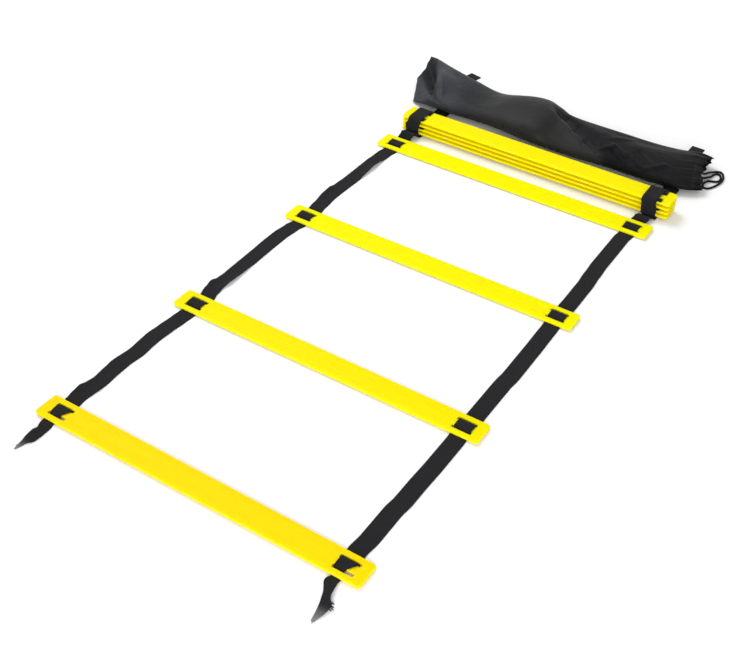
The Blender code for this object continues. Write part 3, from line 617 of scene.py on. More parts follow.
def stack_corners(side):
    """The strap from the last fold line round the stack and back and forth through it."""
    line = stack_line + side * STRAP_LINE
    drift = stack_line - rung_line
    front = stack_row - wrap_offset - HALF_WEB
    free = fold_rows[-1] - front
    crest = HALF_WEB + SLACK_RISE[side]
    wrap = line - (0.0015 if side < 0 else 0.0045)
    foot = line - (0.0050 if side < 0 else 0.0020)
    inner = line + 0.0022
    narrow = 0.0242
    loop_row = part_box(f"strap_stack_{'left' if side < 0 else 'right'}")[1][1] - HALF_WEB
    corners = [
        (fold_rows[-1], crest, 0.0, line - drift * 0.5, WEB_WIDTH),
        (front + free * 0.70, crest, 0.006, line - drift * 0.36, WEB_WIDTH),
        (front + free * 0.05, HALF_WEB, 0.006, line, WEB_WIDTH),
        (loop_row, HALF_WEB, WEB_STEP / 2, line, WEB_WIDTH),
        (loop_row, entry_level, WEB_STEP / 2, line, WEB_WIDTH),
        (stack_row + wrap_offset, entry_level, BEND, line, WEB_WIDTH),
        (stack_row + wrap_offset, wrap_level, WRAP_CORNER, wrap, WEB_WIDTH),
        (stack_row - wrap_offset, wrap_level, WRAP_CORNER, wrap, WEB_WIDTH),
        (stack_row - wrap_offset - WRAP_BULGE, wrap_level * 0.55, 0.020, foot, WEB_WIDTH + 0.001),
        (stack_row - wrap_offset, entry_level, WRAP_FOOT, foot, WEB_WIDTH),
        (stack_row - wrap_offset + 0.006, entry_level, 0.0, foot, WEB_WIDTH),
    ]
    for layer in range(4):
        base = stack_base + layer * stack_pitch
        under = base - GAP - HALF_WEB
        over = base + RUNG_THICKNESS + GAP + HALF_WEB
        heading = 1 if layer % 2 == 0 else -1
        first, second = (under, over) if heading == 1 else (over, under)
        for offset, level in ((-SLOT_LEAVE, first), (-SLOT_REACH, second),
                              (SLOT_REACH, second), (SLOT_LEAVE, first)):
            corners.append((stack_row + heading * offset, level, BEND, inner, narrow))
        if heading == 1:
            corners.append((stack_row + leg_offset, under, BEND, inner, narrow))
            corners.append((stack_row + leg_offset, over + stack_pitch, BEND, inner, narrow))
        elif layer < 3:
            corners.append((stack_row - leg_offset, over, WEB_STEP / 2, inner, narrow))
            corners.append((stack_row - leg_offset, over + WEB_STEP, WEB_STEP / 2, inner, narrow))
    corners.append((stack_row - wrap_offset + WRAP_BEND, wrap_level - WEB_STEP, 0.0, inner, narrow))
    return corners


webbing = webbing_finish("strap_webbing", CHARCOAL, CREST_SHEEN_AND_FUZZ)
weaver = weaving_tree()
web_section = section_outline("webbing_section", flat_ring(11))


def weave(name, rows, thickness, finish):
    """A band of webbing along the rows of a chain."""
    values = {"Section": web_section, "Thickness": thickness, "Material": finish}
    return grow(weaver, chain_object(f"{name}_chain", rows), name, values)


def weave_strip(name, points, length, wander):
    """One finished strip of webbing along its points, and the length at which it ends."""
    rows = []
    for index, (y, z, sideways, width) in enumerate(points):
        before, after = neighbours(points, index)
        heading = Vector((0.0, after[0] - before[0], after[1] - before[1])).normalized()
        if index:
            length += math.hypot(y - before[0], z - before[1])
        shift, left, right = wander(y) if wander else (0.0, 0.0, 0.0)
        rows.append(((sideways + shift, y, z), (1.0, 0.0, 0.0), (0.0, -heading.z, heading.y),
                     width / 2, left, right, length))
    strip = weave(name, rows, WEB_THICKNESS, webbing)
    return strip, length


def between(points, low, high):
    """The part of a line between two Y values, with its ends exactly there."""
    part = []
    for first, second in zip(points, points[1:]):
        if second[0] <= low or first[0] >= high or second[0] <= first[0]:
            continue
        for limit in (low, high):
            if first[0] < limit < second[0]:
                cut = mix(first, second, (limit - first[0]) / (second[0] - first[0]))
                if limit == low:
                    first = cut
                else:
                    second = cut
        if not part:
            part.append(first)
        part.append(second)
    return part


for label, side in SIDES:
    wander = wander_for(LEFT_WANDER if side < 0 else RIGHT_WANDER)
    points = strap_points(laid_corners(side))
    length = 0.0
    for number, row in zip(LAID, rung_rows):
        body = f"laid_rung_{number}"
        last = number == 4
        reach = LAST_FOLD_REACH if last else FOLD_REACH
        held = row + (LAST_HELD_REACH if last else HELD_REACH)
        end = fold_rows[number - 1] - reach
        if number > 1:
            start = fold_rows[number - 2] + FOLD_REACH
            part = between(points, start, row - SLOT_CENTRE)
            strip, length = weave_strip(f"webbing_front_{number}_{label}", part, length, wander)
            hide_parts(f"strap_{number}_front_{label}")
            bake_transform(strip, body, f"section_{number}", (rung_line, row - HELD_REACH, 0.0),
                     (rung_line, start, 0.0))
        part = between(points, row - SLOT_CENTRE, row + SLOT_CENTRE)
        strip, length = weave_strip(f"webbing_saddle_{number}_{label}", part, length, wander)
        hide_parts(f"saddle_{number}_{label}")
        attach(strip, body)
        part = between(points, row + SLOT_CENTRE, end)
        strip, length = weave_strip(f"webbing_rear_{number}_{label}", part, length, wander)
        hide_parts(f"strap_{number}_rear_{label}")
        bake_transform(strip, body, f"section_{number}", (rung_line, held, 0.0), (rung_line, end, 0.0))
        if not last:
            part = between(points, end, end + 2 * reach)
            strip, length = weave_strip(f"webbing_fold_{number}_{label}", part, length, wander)
            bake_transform(strip, f"section_{number}", f"section_{number + 1}",
                     (rung_line, end, 0.0), (rung_line, end + 2 * reach, 0.0))
    wound = strap_points(stack_corners(side))
    start, fold, end = (fold_rows[3] + LAST_FOLD_REACH * sense for sense in (-1, 0, 1))
    turn = next(i for i, point in enumerate(wound) if point[0] > end)
    share = (end - wound[turn - 1][0]) / (wound[turn][0] - wound[turn - 1][0])
    meeting = mix(wound[turn - 1], wound[turn], share)
    part = between(points, start, fold) + wound[1:turn] + [meeting]
    strip, length = weave_strip(f"webbing_fold_4_{label}", part, length, None)
    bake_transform(strip, "section_4", "stack", (rung_line, start, 0.0), (rung_line, end, 0.0))
    strip, length = weave_strip(f"webbing_wrap_{label}", [meeting] + wound[turn:], length, None)
    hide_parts(f"strap_stack_{label}")
    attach(strip, "stack")


# Strap ends
# The cut ends of the straps lie in front of the first rung, rolled onto one edge, worn
# grey and frayed. Rows are millimetres behind the rung's middle, then the left and right
# edges from the rung's middle, the twist in degrees and the height of the strip's middle.

LEFT_END = (
    (-8.25, -231.9, -214.9, 0, 3.8), (-10.8, -232.2, -214.9, 0, 0.8), (-19, -234, -216, 0, 0.9),
    (-26, -231.2, -213.7, -12, 2.6), (-32, -228.5, -213, -22, 3.6), (-38, -226, -212.7, -25, 3.9),
    (-44, -227.7, -212.6, -22, 3.9), (-56, -227.9, -214.3, -16, 3), (-63, -227.4, -219.8, -10, 1.9),
    (-70, -227, -222, -6, 1.2), (-77, -225.8, -224.2, -4, 1),
)
RIGHT_END = (
    (-8.25, 208.5, 223.5, 0, 3.8), (-10.8, 208.8, 224.2, 0, 0.8), (-19, 212.0, 225.6, 2, 1.3),
    (-24, 209.6, 225.7, 5, 2.0), (-30, 209.8, 226.8, 9, 2.9), (-36, 213.6, 228.0, 13, 3.6),
    (-43, 218.0, 229.4, 15, 3.8), (-49, 220.2, 232.6, 12, 3.4), (-56, 222.8, 237.4, 9, 2.8),
    (-65, 225.2, 237.0, 7, 2.0), (-73, 227.0, 234.6, 5, 1.4), (-81, 228.4, 231.0, 4, 1.0),
)
# The blend from the first rung to the strap's end is over this far in front of the rung
END_BEND = 0.079
GREYING = (-0.048, -0.078)
YARN_RADIUS = 0.0006
WORN_GREY = (0.30, 0.30, 0.31, 1.0)
# Frayed places: name, millimetres from the rung's middle (along the rung, behind it, up),
# how many yarns stand out there, which way, how long, a seed, and whether worn grey
FRAYS = (
    ("left_tip", ((-227, -70, 1), (-225.6, -76, 0.9), (-224.4, -76, 0.9)),
     6, (-0.3, -1.0, 0.0), 0.0030, 3, True),
    ("right_edge", ((231.4, -48.5, 3.9), (234.6, -52.5, 3.6), (236.4, -56, 3.2), (236.4, -60, 2.8)),
     12, (1.0, -0.30, -0.10), 0.0064, 5, False),
    ("right_tip", ((228.2, -79, 1), (229.2, -80.6, 0.9), (230.8, -79.5, 0.9), (232.8, -75.5, 1.2)),
     8, (0.3, -1.0, 0.0), 0.0032, 8, True),
)


def curve_point(points, index, t):
    """A place on the smooth curve through points, a share t of the way past one of them."""
    near = (points[min(max(index + k, 0), len(points) - 1)] for k in (-1, 0, 1, 2))
    return tuple(0.5 * (2 * b + (c - a) * t + (2 * a - 5 * b + 4 * c - d) * t ** 2
                        + (3 * b - a - 3 * c + d) * t ** 3) for a, b, c, d in zip(*near))


def end_rows(table):
    """The chain rows of a strap end from its table of edges, twist and height."""
    dense = []
    for index in range(len(table) - 1):
        if index < 2:
            dense += [mix(table[index], table[index + 1], tick / 3) for tick in range(3)]
        else:
            dense += [curve_point(table, index, tick / 6) for tick in range(6)]
    dense.append(table[-1])
    rows = []
    for index, (y, left, right, twist, height) in enumerate(dense):
        angle = math.radians(twist)
        across = Vector((math.cos(angle), 0.0, math.sin(angle)))
        before, after = neighbours(dense, index)
        heading = Vector((0.0, before[0] - after[0], before[4] - after[4])).normalized()
        up = heading.cross(across).normalized()
        up = -up if up.z < 0 else up
        half = (right - left) / 2000
        low = abs(across.z) * half + abs(up.z) * HALF_WEB + 0.0001
        centre = Vector((left + right, 2 * y, 0.0)) / 2000 + Vector((rung_line, rung_rows[0], 0.0))
        centre.z = max(height / 1000, low)
        rows.append((centre, across, up, half, 0.0, 0.0, y / 1000 + SLOT_CENTRE))
    return rows


def fray_tree():
    """Loose yarns that stand out from a frayed edge at random angles and lengths."""
    tree, (chain, count, length, radius, heading, seed, material) = start_tree("yarns_along_edge", {
        "Geometry": "Geometry", "Count": "Int", "Length": "Float", "Radius": "Float",
        "Heading": "Vector", "Seed": "Int", "Material": "Material"})
    line = chain.node("GeometryNodeMeshToCurve", {0: chain})
    spaced = chain.node("GeometryNodeResampleCurve", {"Curve": line, "Count": count}, mode="COUNT")
    bent = chain.node("GeometryNodeCurveQuadraticBezier", {
        "Resolution": 5, "Start": (0.0, 0.0, 0.0), "Middle": (0.5, 0.10, 0.16),
        "End": (1.0, 0.22, -0.04)})
    stretch = chain.node("ShaderNodeCombineXYZ", {0: length, 1: length, 2: length})
    long_yarn = chain.node("GeometryNodeTransform", {0: bent, "Scale": stretch})
    ring = chain.node("GeometryNodeCurvePrimitiveCircle", {"Resolution": 5, "Radius": radius})
    yarn = chain.node("GeometryNodeCurveToMesh",
                      {"Curve": long_yarn, "Profile Curve": ring, "Fill Caps": True})
    turned = chain.node("FunctionNodeAlignRotationToVector", {"Vector": heading}, axis="X")
    inputs = {"Min": (-1.2, -0.10, -0.55), "Max": (1.2, 0.16, 0.55), "Seed": seed}
    spread = chain.node("FunctionNodeRandomValue", inputs, data_type="FLOAT_VECTOR")
    loose = chain.node("FunctionNodeRotateRotation", {"Rotation": turned, "Rotate By": spread},
                       rotation_space="LOCAL")
    inputs = {2: 0.35, 3: 1.0, "Seed": seed}
    size = chain.node("FunctionNodeRandomValue", inputs, 1, data_type="FLOAT")
    rows = chain.node("GeometryNodeInstanceOnPoints",
                      {"Points": spaced, "Instance": yarn, "Rotation": loose, "Scale": size})
    return finish_tree(tree, rows, material)


def yarn_finish(name, base, top):
    """A single yarn of the webbing, matt."""
    material, start = new_material(name, {"Specular IOR Level": 0.1})
    streak = start.where().noise(900.0, 2.0)
    colour = streak.fade(0.3, 0.7).blend(base, top)
    connect(material, {"Base Color": colour, "Roughness": 0.8 + streak * 0.1})
    return material


def ride_end(piece):
    """Carry a piece of a strap's end: with the first rung, then with the strap's end."""
    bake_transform(piece, "laid_rung_1", "section_1", (rung_line, rung_rows[0] - HELD_REACH, 0.0),
             (rung_line, rung_rows[0] - END_BEND, 0.0))


worn_webbing = webbing_finish("worn_strap_end", CHARCOAL, CREST_SHEEN_AND_FUZZ, GREYING)
for label, table in (("left", LEFT_END), ("right", RIGHT_END)):
    end = weave(f"webbing_end_{label}", end_rows(table), WEB_THICKNESS, worn_webbing)
    ride_end(end)
    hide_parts(f"strap_tail_{label}")
frayer = fray_tree()
loose_yarn = yarn_finish("loose_yarn", CHARCOAL, (0.030, 0.030, 0.033, 1.0))
worn_yarn = yarn_finish("worn_yarn", (0.16, 0.16, 0.165, 1.0), WORN_GREY)
for label, places, count, heading, length, seed, worn in FRAYS:
    points = [(x / 1000 + rung_line, y / 1000 + rung_rows[0], z / 1000) for x, y, z in places]
    edge = place_piece("fray_line", line_mesh("fray_line", points), None)
    fray = grow(frayer, edge, f"frayed_yarns_{label}", {
        "Count": count, "Length": length, "Radius": YARN_RADIUS, "Heading": heading, "Seed": seed,
        "Material": worn_yarn if worn else loose_yarn})
    for vert in fray.data.vertices:
        vert.co.z = max(vert.co.z, 0.0003)
    ride_end(fray)


# Carry bag skin
# The bag is a long sleeve of thin black nylon, empty and crumpled. Its closed end is
# folded in, the middle stands up in a hump with a slanting crease behind it, and the
# cloth runs in small gathers to the hem, a channel turned inward round the mouth.

BAG_LENGTH = 0.5645
BAG_DEPTH = 0.114
BAG_HEIGHT = 0.034
BAG_GAP = 0.0325
BAG_START = -0.29655
END_SKEW = 0.34
MOUTH_SKEW = 0.19
MOUTH_DISH = 0.10
END_REACH = 0.16
UNDERSIDE = 0.8
HEM_WIDTH = 0.016
HEM_WALL = 0.0016
ARC = BAG_DEPTH * 0.42
# The lowest that the skin's points lie, just above the floor
SKIN_LOW = 0.0004
# How far the closed end bulges out, in millimetres by degrees round the section
END_BULGE = (
    (0, 0), (36, 0.5), (56, 4.5), (78, 8.5), (97, 11.5), (106, 9), (130, 6), (165, 4.5),
    (200, 3.5), (290, 2), (360, 0),
)
# Share of the length, then in shares of depth and height: front edge, depth, height, lift
BAG_SHARES = (
    (0, 0.20, 1.20, 0.18, 0.62), (0.022, 0.16, 1.22, 0.42, 0.50), (0.083, 0.09, 1.15, 1.02, 0.12),
    (0.173, 0.08, 1.03, 1.04, 0), (0.263, 0.12, 0.90, 0.92, 0), (0.352, 0.07, 0.94, 1.28, 0),
    (0.442, -0.02, 1.09, 1.50, 0), (0.495, -0.03, 1.01, 1.42, 0), (0.530, 0, 0.96, 1.12, 0),
    (0.620, 0.01, 0.97, 1, 0), (0.710, 0.04, 0.93, 1, 0), (0.799, 0.04, 0.95, 0.98, 0),
    (0.889, 0.05, 0.98, 0.94, 0.02), (0.960, 0.15, 0.97, 0.82, 0.10), (1, 0.31, 0.80, 0.62, 0.20),
)
# Creases and ridges on the upper side: share and degrees round the section where each
# starts and ends, then in millimetres its half width toward the mouth and away from it,
# and how far it goes in (-) or out
FOLDS = (
    (0.018, 64, 0.050, 104, 8.5, 12.5, -14), (0.050, 104, 0.074, 132, 7, 10, -13),
    (0.040, 118, 0.135, 164, 5, 5, -4), (0.070, 72, 0.122, 126, 7, 5, 4),
    (0.110, 52, 0.150, 84, 8, 8, -2.6), (0.180, 112, 0.275, 136, 8, 8, 1.6),
    (0.500, 66, 0.533, 68, 6, 8, -7), (0.533, 68, 0.580, 90, 13, 5, -9.5),
    (0.580, 90, 0.633, 111, 15, 5, -8.5), (0.633, 111, 0.684, 137, 10, 5, -6),
    (0.505, 84, 0.560, 98, 8, 14, 3), (0.560, 98, 0.640, 132, 8, 14, 2.6),
    (0.690, 133, 0.726, 111, 4, 5, 3.4), (0.714, 104, 0.776, 127, 4.5, 4, 3.8),
    (0.735, 128, 0.790, 146, 4.5, 4.5, -3.2), (0.776, 116, 0.846, 150, 4, 5, 4.2),
    (0.800, 100, 0.850, 122, 5, 5, -3), (0.848, 144, 0.890, 116, 4, 4.5, 4.2),
    (0.866, 146, 0.916, 157, 4, 4, 3.2), (0.846, 158, 0.988, 166, 4.5, 4.5, 2.6),
    (0.700, 84, 0.760, 62, 6, 6, 1.8), (0.640, 60, 0.880, 58, 8, 8, -1.4),
)
BLACK_NYLON = (0.0030, 0.0032, 0.0042, 1.0)
# Pale colours of the painted highlight: greyer toward the crease, bluish near the closed end
PAINTED_HIGHLIGHT_NYLON = (0.0310, 0.0310, 0.0305, 1.0)
BLUE_HIGHLIGHT_NYLON = (0.0285, 0.0325, 0.0385, 1.0)
# A painted highlight makes the cloth paler and glossier up to the crease, this far along at the
# front, with painted shade past it; the slants are how much nearer to the closed end the crease
# and the paler end go toward the rear
CREASE_PLACE = 0.395
CREASE_SLANT = 1.33
END_SLANT = 0.55
NYLON_YARN = 0.00045

bag_left = rung_line + BAG_START
bag_front = stack_row + wrap_offset + HALF_WEB + BAG_GAP


def curve_value(table, share, column):
    """A smooth curve through one column of the bag's table."""
    last = len(table) - 1
    index = 0
    while index < last - 1 and share > table[index + 1][0]:
        index += 1
    start, end = table[index], table[index + 1]
    before, after = table[max(index - 1, 0)], table[min(index + 2, last)]
    span = end[0] - start[0]
    t = (share - start[0]) / span
    slope_in = (end[column] - before[column]) / (end[0] - before[0]) * span
    slope_out = (after[column] - start[column]) / (after[0] - start[0]) * span
    return ((2 * t ** 3 - 3 * t ** 2 + 1) * start[column] + (t ** 3 - 2 * t ** 2 + t) * slope_in
            + (3 * t ** 2 - 2 * t ** 3) * end[column] + (t ** 3 - t ** 2) * slope_out)


def bag_section(share):
    """Front edge, depth, height and lift of the bag at a share of its length."""
    front, depth, height, lift = (curve_value(BAG_SHARES, share, column) for column in (1, 2, 3, 4))
    return bag_front + front * BAG_DEPTH, depth * BAG_DEPTH, height * BAG_HEIGHT, lift * BAG_HEIGHT


def bag_point(share, angle):
    """A point of the smooth bag: a pillow section that rests flat on the floor."""
    front, depth, height, lift = bag_section(share)
    across = math.cos(angle)
    rise = math.sin(angle)
    if rise < 0:
        rise = -abs(rise) ** UNDERSIDE
    y = front + depth * (1 + across) / 2
    z = height * (1 + rise) / 2 + lift * (1 + across) / 2
    end_share = max(0.0, 1 - share / END_REACH)
    mouth_share = max(0.0, 1 - (1 - share) / END_REACH)
    skew = END_SKEW * end_share + MOUTH_SKEW * mouth_share
    dish = MOUTH_DISH * mouth_share ** 2 * (1 - across ** 2)
    return Vector((bag_left + share * BAG_LENGTH - depth * (skew * across / 2 + dish), y, z))


def fold_push(share, angle):
    """How far the folds push the skin in or out at one place."""
    here = Vector((share * BAG_LENGTH, angle * ARC))
    total = 0.0
    for start, start_angle, end, end_angle, ahead, behind, depth in FOLDS:
        first = Vector((start * BAG_LENGTH, math.radians(start_angle) * ARC))
        second = Vector((end * BAG_LENGTH, math.radians(end_angle) * ARC))
        line = second - first
        along = limited((here - first).dot(line) / line.length_squared)
        apart = here - first.lerp(second, along)
        width = (ahead if apart.x > 0 else behind) / 1000
        strength = math.sin(math.pi * (0.22 + 0.56 * along))
        total += depth / 1000 * strength * math.exp(-(apart.length / width) ** 2)
    bend = Vector((share * 9.0, math.cos(angle) * 1.3, math.sin(angle) * 1.3))
    total += noise.noise(bend) * 0.0026
    gather = limited((share - 0.90) / 0.09)
    wave = math.sin(angle * 13 + 1.1 * math.sin(share * 46))
    total += (0.6 * wave + 0.4 * math.sin(angle * 29 + share * 60)) * 0.0020 * gather ** 1.4
    return total


def skin_point(share, angle, inset=0.0):
    """A point of the folded skin, or of a layer that much further in."""
    spot = bag_point(share, angle)
    ahead = bag_point(min(share + 0.004, 1.0), angle) - bag_point(max(share - 0.004, 0.0), angle)
    turn = bag_point(share, angle + 0.04) - bag_point(share, angle - 0.04)
    out = ahead.cross(turn).normalized()
    if out.z * math.sin(angle) < 0:
        out = -out
    upper = max(0.0, math.sin(angle)) ** 0.6
    spot += out * (fold_push(share, angle) * upper - inset)
    near_end = max(0.0, 1 - share / 0.07) ** 2
    near_mouth = max(0.0, (share - 0.93) / 0.07) ** 2
    spot.x -= table_value(END_BULGE, math.degrees(angle), 1) / 1000 * near_end
    spot.x += (math.sin(angle * 11 + 0.7) + 0.6 * math.sin(angle * 23)) * 0.0016 * near_mouth
    spot.z = max(spot.z, SKIN_LOW + inset)
    return spot


def cap_ring(bm, ring):
    """Close a section of the bag with strips from its top to its underside."""
    half = len(ring) // 2
    for index in range(half):
        corners = [ring[index], ring[index + 1]]
        if index + 1 < half:
            corners.append(ring[-index - 1])
        if index > 0:
            corners.append(ring[-index])
        bm.faces.new(corners)


def skin_mesh(name, rows):
    """A closed skin through rows of points round the bag."""
    bm = bmesh.new()
    grid = [[bm.verts.new(point) for point in row] for row in rows]
    for row, following in zip(grid, grid[1:]):
        for index in range(len(row)):
            other = (index + 1) % len(row)
            bm.faces.new((row[index], row[other], following[other], following[index]))
    cap_ring(bm, grid[0])
    cap_ring(bm, grid[-1])
    return finish_mesh(bm, bpy.data.meshes.new(name), 60.0)


def nylon_finish():
    """Thin black nylon: a fine weave with a soft shine and small crinkles. A painted highlight makes
    it paler, bluish and glossier from the closed end to the slanting crease; past the crease and in
    the end's pocket it is dark, painted shade."""
    constants = {"Specular IOR Level": 0.04, "Coat Roughness": 0.42}
    material, start = new_material("bag_nylon", constants)
    where = start.where()
    lengthwise = {"Vector": where, "Scale": (0.6, 1.2, 1.2)}
    crinkle = where.node("ShaderNodeMapping", lengthwise).noise(60.0, 4.0, 0.5)
    fine = where.noise(420.0, 3.0)
    east, north = where.split()
    turn = math.pi / NYLON_YARN
    yarns = (east * turn).math("SINE") * (north * turn).math("SINE")
    along = east - bag_left
    across = north - bag_front
    crease = along + across * CREASE_SLANT
    end = along + across * END_SLANT
    # Painted shade: the pocket of the folded-in closed end stays dark
    pocket_shade = end.fade(0.074, 0.084, 1.0, 0.0) * (along + across).fade(0.078, 0.094)
    # Painted light: paler, glossier cloth up to the slanting crease, painted shade past it
    painted_light = crease.fade(CREASE_PLACE, CREASE_PLACE + 0.03, 0.54, 0.02)
    painted_light = painted_light + crease.fade(0.45, 0.53, 0.0, 0.12) + end.fade(0.100, 0.150, 0.42, 0.0)
    painted_light = painted_light * (pocket_shade * -0.80 + 1.0)
    painted_light = painted_light * (crinkle * 0.6 + fine * 0.3 + 0.55)
    dust_and_highlight = end.fade(0.110, 0.210, 1.0, 0.0).blend(PAINTED_HIGHLIGHT_NYLON, BLUE_HIGHLIGHT_NYLON)
    # Base colour and coat weight both follow the painted highlight and shade
    ends = {"Base Color": painted_light.blend(BLACK_NYLON, dust_and_highlight), "Coat Weight": painted_light * 0.11 + 0.035,
            "Roughness": 0.34 + fine * 0.10 + crinkle * 0.08}
    connect(material, ends, crinkle * 5.0 + fine * 0.7 + yarns * 0.12, 0.0004)
    return material


def crumple(piece, looseness, reach):
    """Let the cloth buckle where it is loose, each point within reach of its place."""
    held = piece.vertex_groups.new(name="held")
    loose = piece.vertex_groups.new(name="loose")
    for index, value in enumerate(looseness):
        held.add([index], 1.0 - 0.62 * value, "REPLACE")
        loose.add([index], value, "REPLACE")
    cloth = piece.modifiers.new("cloth", "CLOTH")
    cloth.collision_settings.use_collision = False
    for key, value in (("quality", 6), ("mass", 0.15), ("air_damping", 3.0),
                       ("tension_stiffness", 15.0), ("compression_stiffness", 15.0),
                       ("shear_stiffness", 5.0), ("bending_stiffness", 0.05),
                       ("vertex_group_mass", "held"), ("pin_stiffness", 1.0),
                       ("vertex_group_shrink", "loose"), ("shrink_min", 0.0),
                       ("shrink_max", -0.10)):
        setattr(cloth.settings, key, value)
    cloth.settings.effector_weights.gravity = 0.0
    scene = bpy.context.scene
    for number in range(1, SETTLING + 1):
        scene.frame_set(number)
    settled = piece.evaluated_get(bpy.context.evaluated_depsgraph_get()).data
    places = [vert.co.copy() for vert in settled.vertices]
    scene.frame_set(1)
    piece.modifiers.remove(cloth)
    piece.vertex_groups.clear()
    for vert, place in zip(piece.data.vertices, places):
        move = place - vert.co
        if move.length > reach:
            move *= reach / move.length
        vert.co += move
        vert.co.z = max(vert.co.z, SKIN_LOW)
    piece.data.update()


AROUND = 112
ALONG = 190
SETTLING = 24
nylon = nylon_finish()
angles = [2 * math.pi * index / AROUND for index in range(AROUND)]
hem_share = 1 - HEM_WIDTH / BAG_LENGTH
skin_shares = [(hem_share - 0.0003) * index / ALONG for index in range(ALONG + 1)]
rows = [[skin_point(share, angle) for angle in angles] for share in skin_shares]
skin = place_piece("bag_skin", skin_mesh("bag_skin", rows), nylon)
looseness = []
for share in skin_shares:
    ends = min(1.0, share / 0.04, (hem_share - 0.004 - share) / 0.05)
    for angle in angles:
        looseness.append(max(0.0, ends) * max(0.0, math.sin(angle)) ** 0.7)
crumple(skin, looseness, 0.005)
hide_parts("bag_shell")
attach(skin, "bag")

# The hem: its outside up to the mouth, then its inside turned back
layers = [(hem_share + (1 - hem_share) * index / 8, 0.0) for index in range(9)]
layers += [(1.0, 0.0006), (0.9985, HEM_WALL), (0.992, HEM_WALL), (0.982, HEM_WALL + 0.0006),
           (0.9745, HEM_WALL + 0.0016)]
rows = [[skin_point(share, angle, inset) for angle in angles] for share, inset in layers]
hem = place_piece("bag_hem", skin_mesh("bag_hem", rows), nylon)
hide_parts("bag_mouth_hem")
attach(hem, "bag")


# Bag tabs
# Two short lengths of the same black webbing are folded double and sewn into the bag's
# rear seam, to hang it up or tie it.

TAB_WIDTH = 0.023
TAB_REACH = 0.020
TAB_LAYER = 0.0012
# Each tab's side, its share of the bag's length, its shift along the edge and its lean
TAB_SHARES = (("left", 0.140, 0.0, 0.0), ("right", 0.937, 0.004, -18.0))


def tab_place(label, share, shift, lean):
    """A tab's middle, the way along the bag's edge there and the way out from the bag."""
    half_share = TAB_WIDTH / 2 / BAG_LENGTH
    edge = bag_point(share + half_share, 0.0) - bag_point(share - half_share, 0.0)
    edge.z = 0.0
    edge.normalize()
    middle = middle_of(f"bag_tab_{label}") + edge * shift
    edge.rotate(Matrix.Rotation(math.radians(lean), 3, "Z"))
    return middle, edge, Vector((-edge.y, edge.x, 0.0))


for tab_row in TAB_SHARES:
    label = tab_row[0]
    middle, edge, outward = tab_place(*tab_row)
    bend = TAB_LAYER / 2 + 0.0001
    root = middle - outward * (TAB_REACH / 2 + 0.004)
    tip = middle + outward * (TAB_REACH / 2 - bend - TAB_LAYER / 2)
    line = [(root.lerp(tip, part / 6) + Vector((0, 0, bend)), outward) for part in range(7)]
    for step in range(1, 8):
        turned = math.pi / 2 - math.pi * step / 8
        spot = tip + outward * bend * math.cos(turned) + Vector((0, 0, bend * math.sin(turned)))
        line.append((spot, outward * math.sin(turned) - Vector((0, 0, math.cos(turned)))))
    line += [(tip.lerp(root, part / 6) - Vector((0, 0, bend)), -outward) for part in range(7)]
    rows = []
    travelled = 0.0
    for index, (spot, heading) in enumerate(line):
        travelled += (spot - line[index - 1][0]).length if index else 0.0
        rows.append((spot, edge, edge.cross(heading), TAB_WIDTH / 2, 0.0, 0.0, travelled))
    tab = weave(f"webbing_tab_{label}", rows, TAB_LAYER, webbing)
    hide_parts(f"bag_tab_{label}")
    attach(tab, "bag")


# Stitching
# Black polyester thread in a plain lock stitch closes the hem's channel with two rows
# and holds each tab with a row across it.

STITCH_LENGTH = 0.0026
STITCH_PITCH = 0.0032
THREAD_RADIUS = 0.00028


def stitch_tree():
    """Short rounded stitches at an even pitch along a chain."""
    tree, (chain, pitch, length, radius, material) = start_tree("stitches_along_chain", {
        "Geometry": "Geometry", "Pitch": "Float", "Length": "Float", "Radius": "Float",
        "Material": "Material"})
    line = chain.node("GeometryNodeMeshToCurve", {0: chain})
    inputs = {"Curve": line, "Length": pitch}
    spaced = chain.node("GeometryNodeResampleCurve", inputs, mode="LENGTH")
    tangent = chain.node("GeometryNodeInputTangent")
    turned = chain.node("FunctionNodeAlignRotationToVector", {"Vector": tangent}, axis="X")
    bead = chain.node("GeometryNodeMeshUVSphere", {"Segments": 8, "Rings": 6, "Radius": 1.0})
    size = chain.node("ShaderNodeCombineXYZ", {0: length * 0.5, 1: radius, 2: radius})
    rows = chain.node("GeometryNodeInstanceOnPoints",
                      {"Points": spaced, "Instance": bead, "Rotation": turned, "Scale": size})
    return finish_tree(tree, rows, material)


def thread_finish():
    """Black twisted thread with a slight shine."""
    material, start = new_material("sewing_thread", {"Specular IOR Level": 0.4})
    wave = {"Vector": start.where(), "Scale": 900.0, "Distortion": 1.0}
    twist = start.node("ShaderNodeTexWave", wave)
    # Painted highlight on the twist's ridges and painted shade in its grooves
    colour = twist.fade(0.2, 0.9).blend((0.010, 0.010, 0.012, 1.0), (0.040, 0.040, 0.046, 1.0))
    connect(material, {"Base Color": colour, "Roughness": 0.5 + twist * 0.15}, twist, 0.0001)
    return material


stitcher = stitch_tree()
thread = thread_finish()


def sew(name, points):
    """A row of stitches through a line of points, carried by the bag."""
    seam = place_piece(f"{name}_line", line_mesh(name, points), None)
    row = grow(stitcher, seam, name, {"Pitch": STITCH_PITCH, "Length": STITCH_LENGTH,
                                      "Radius": THREAD_RADIUS, "Material": thread})
    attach(row, "bag")


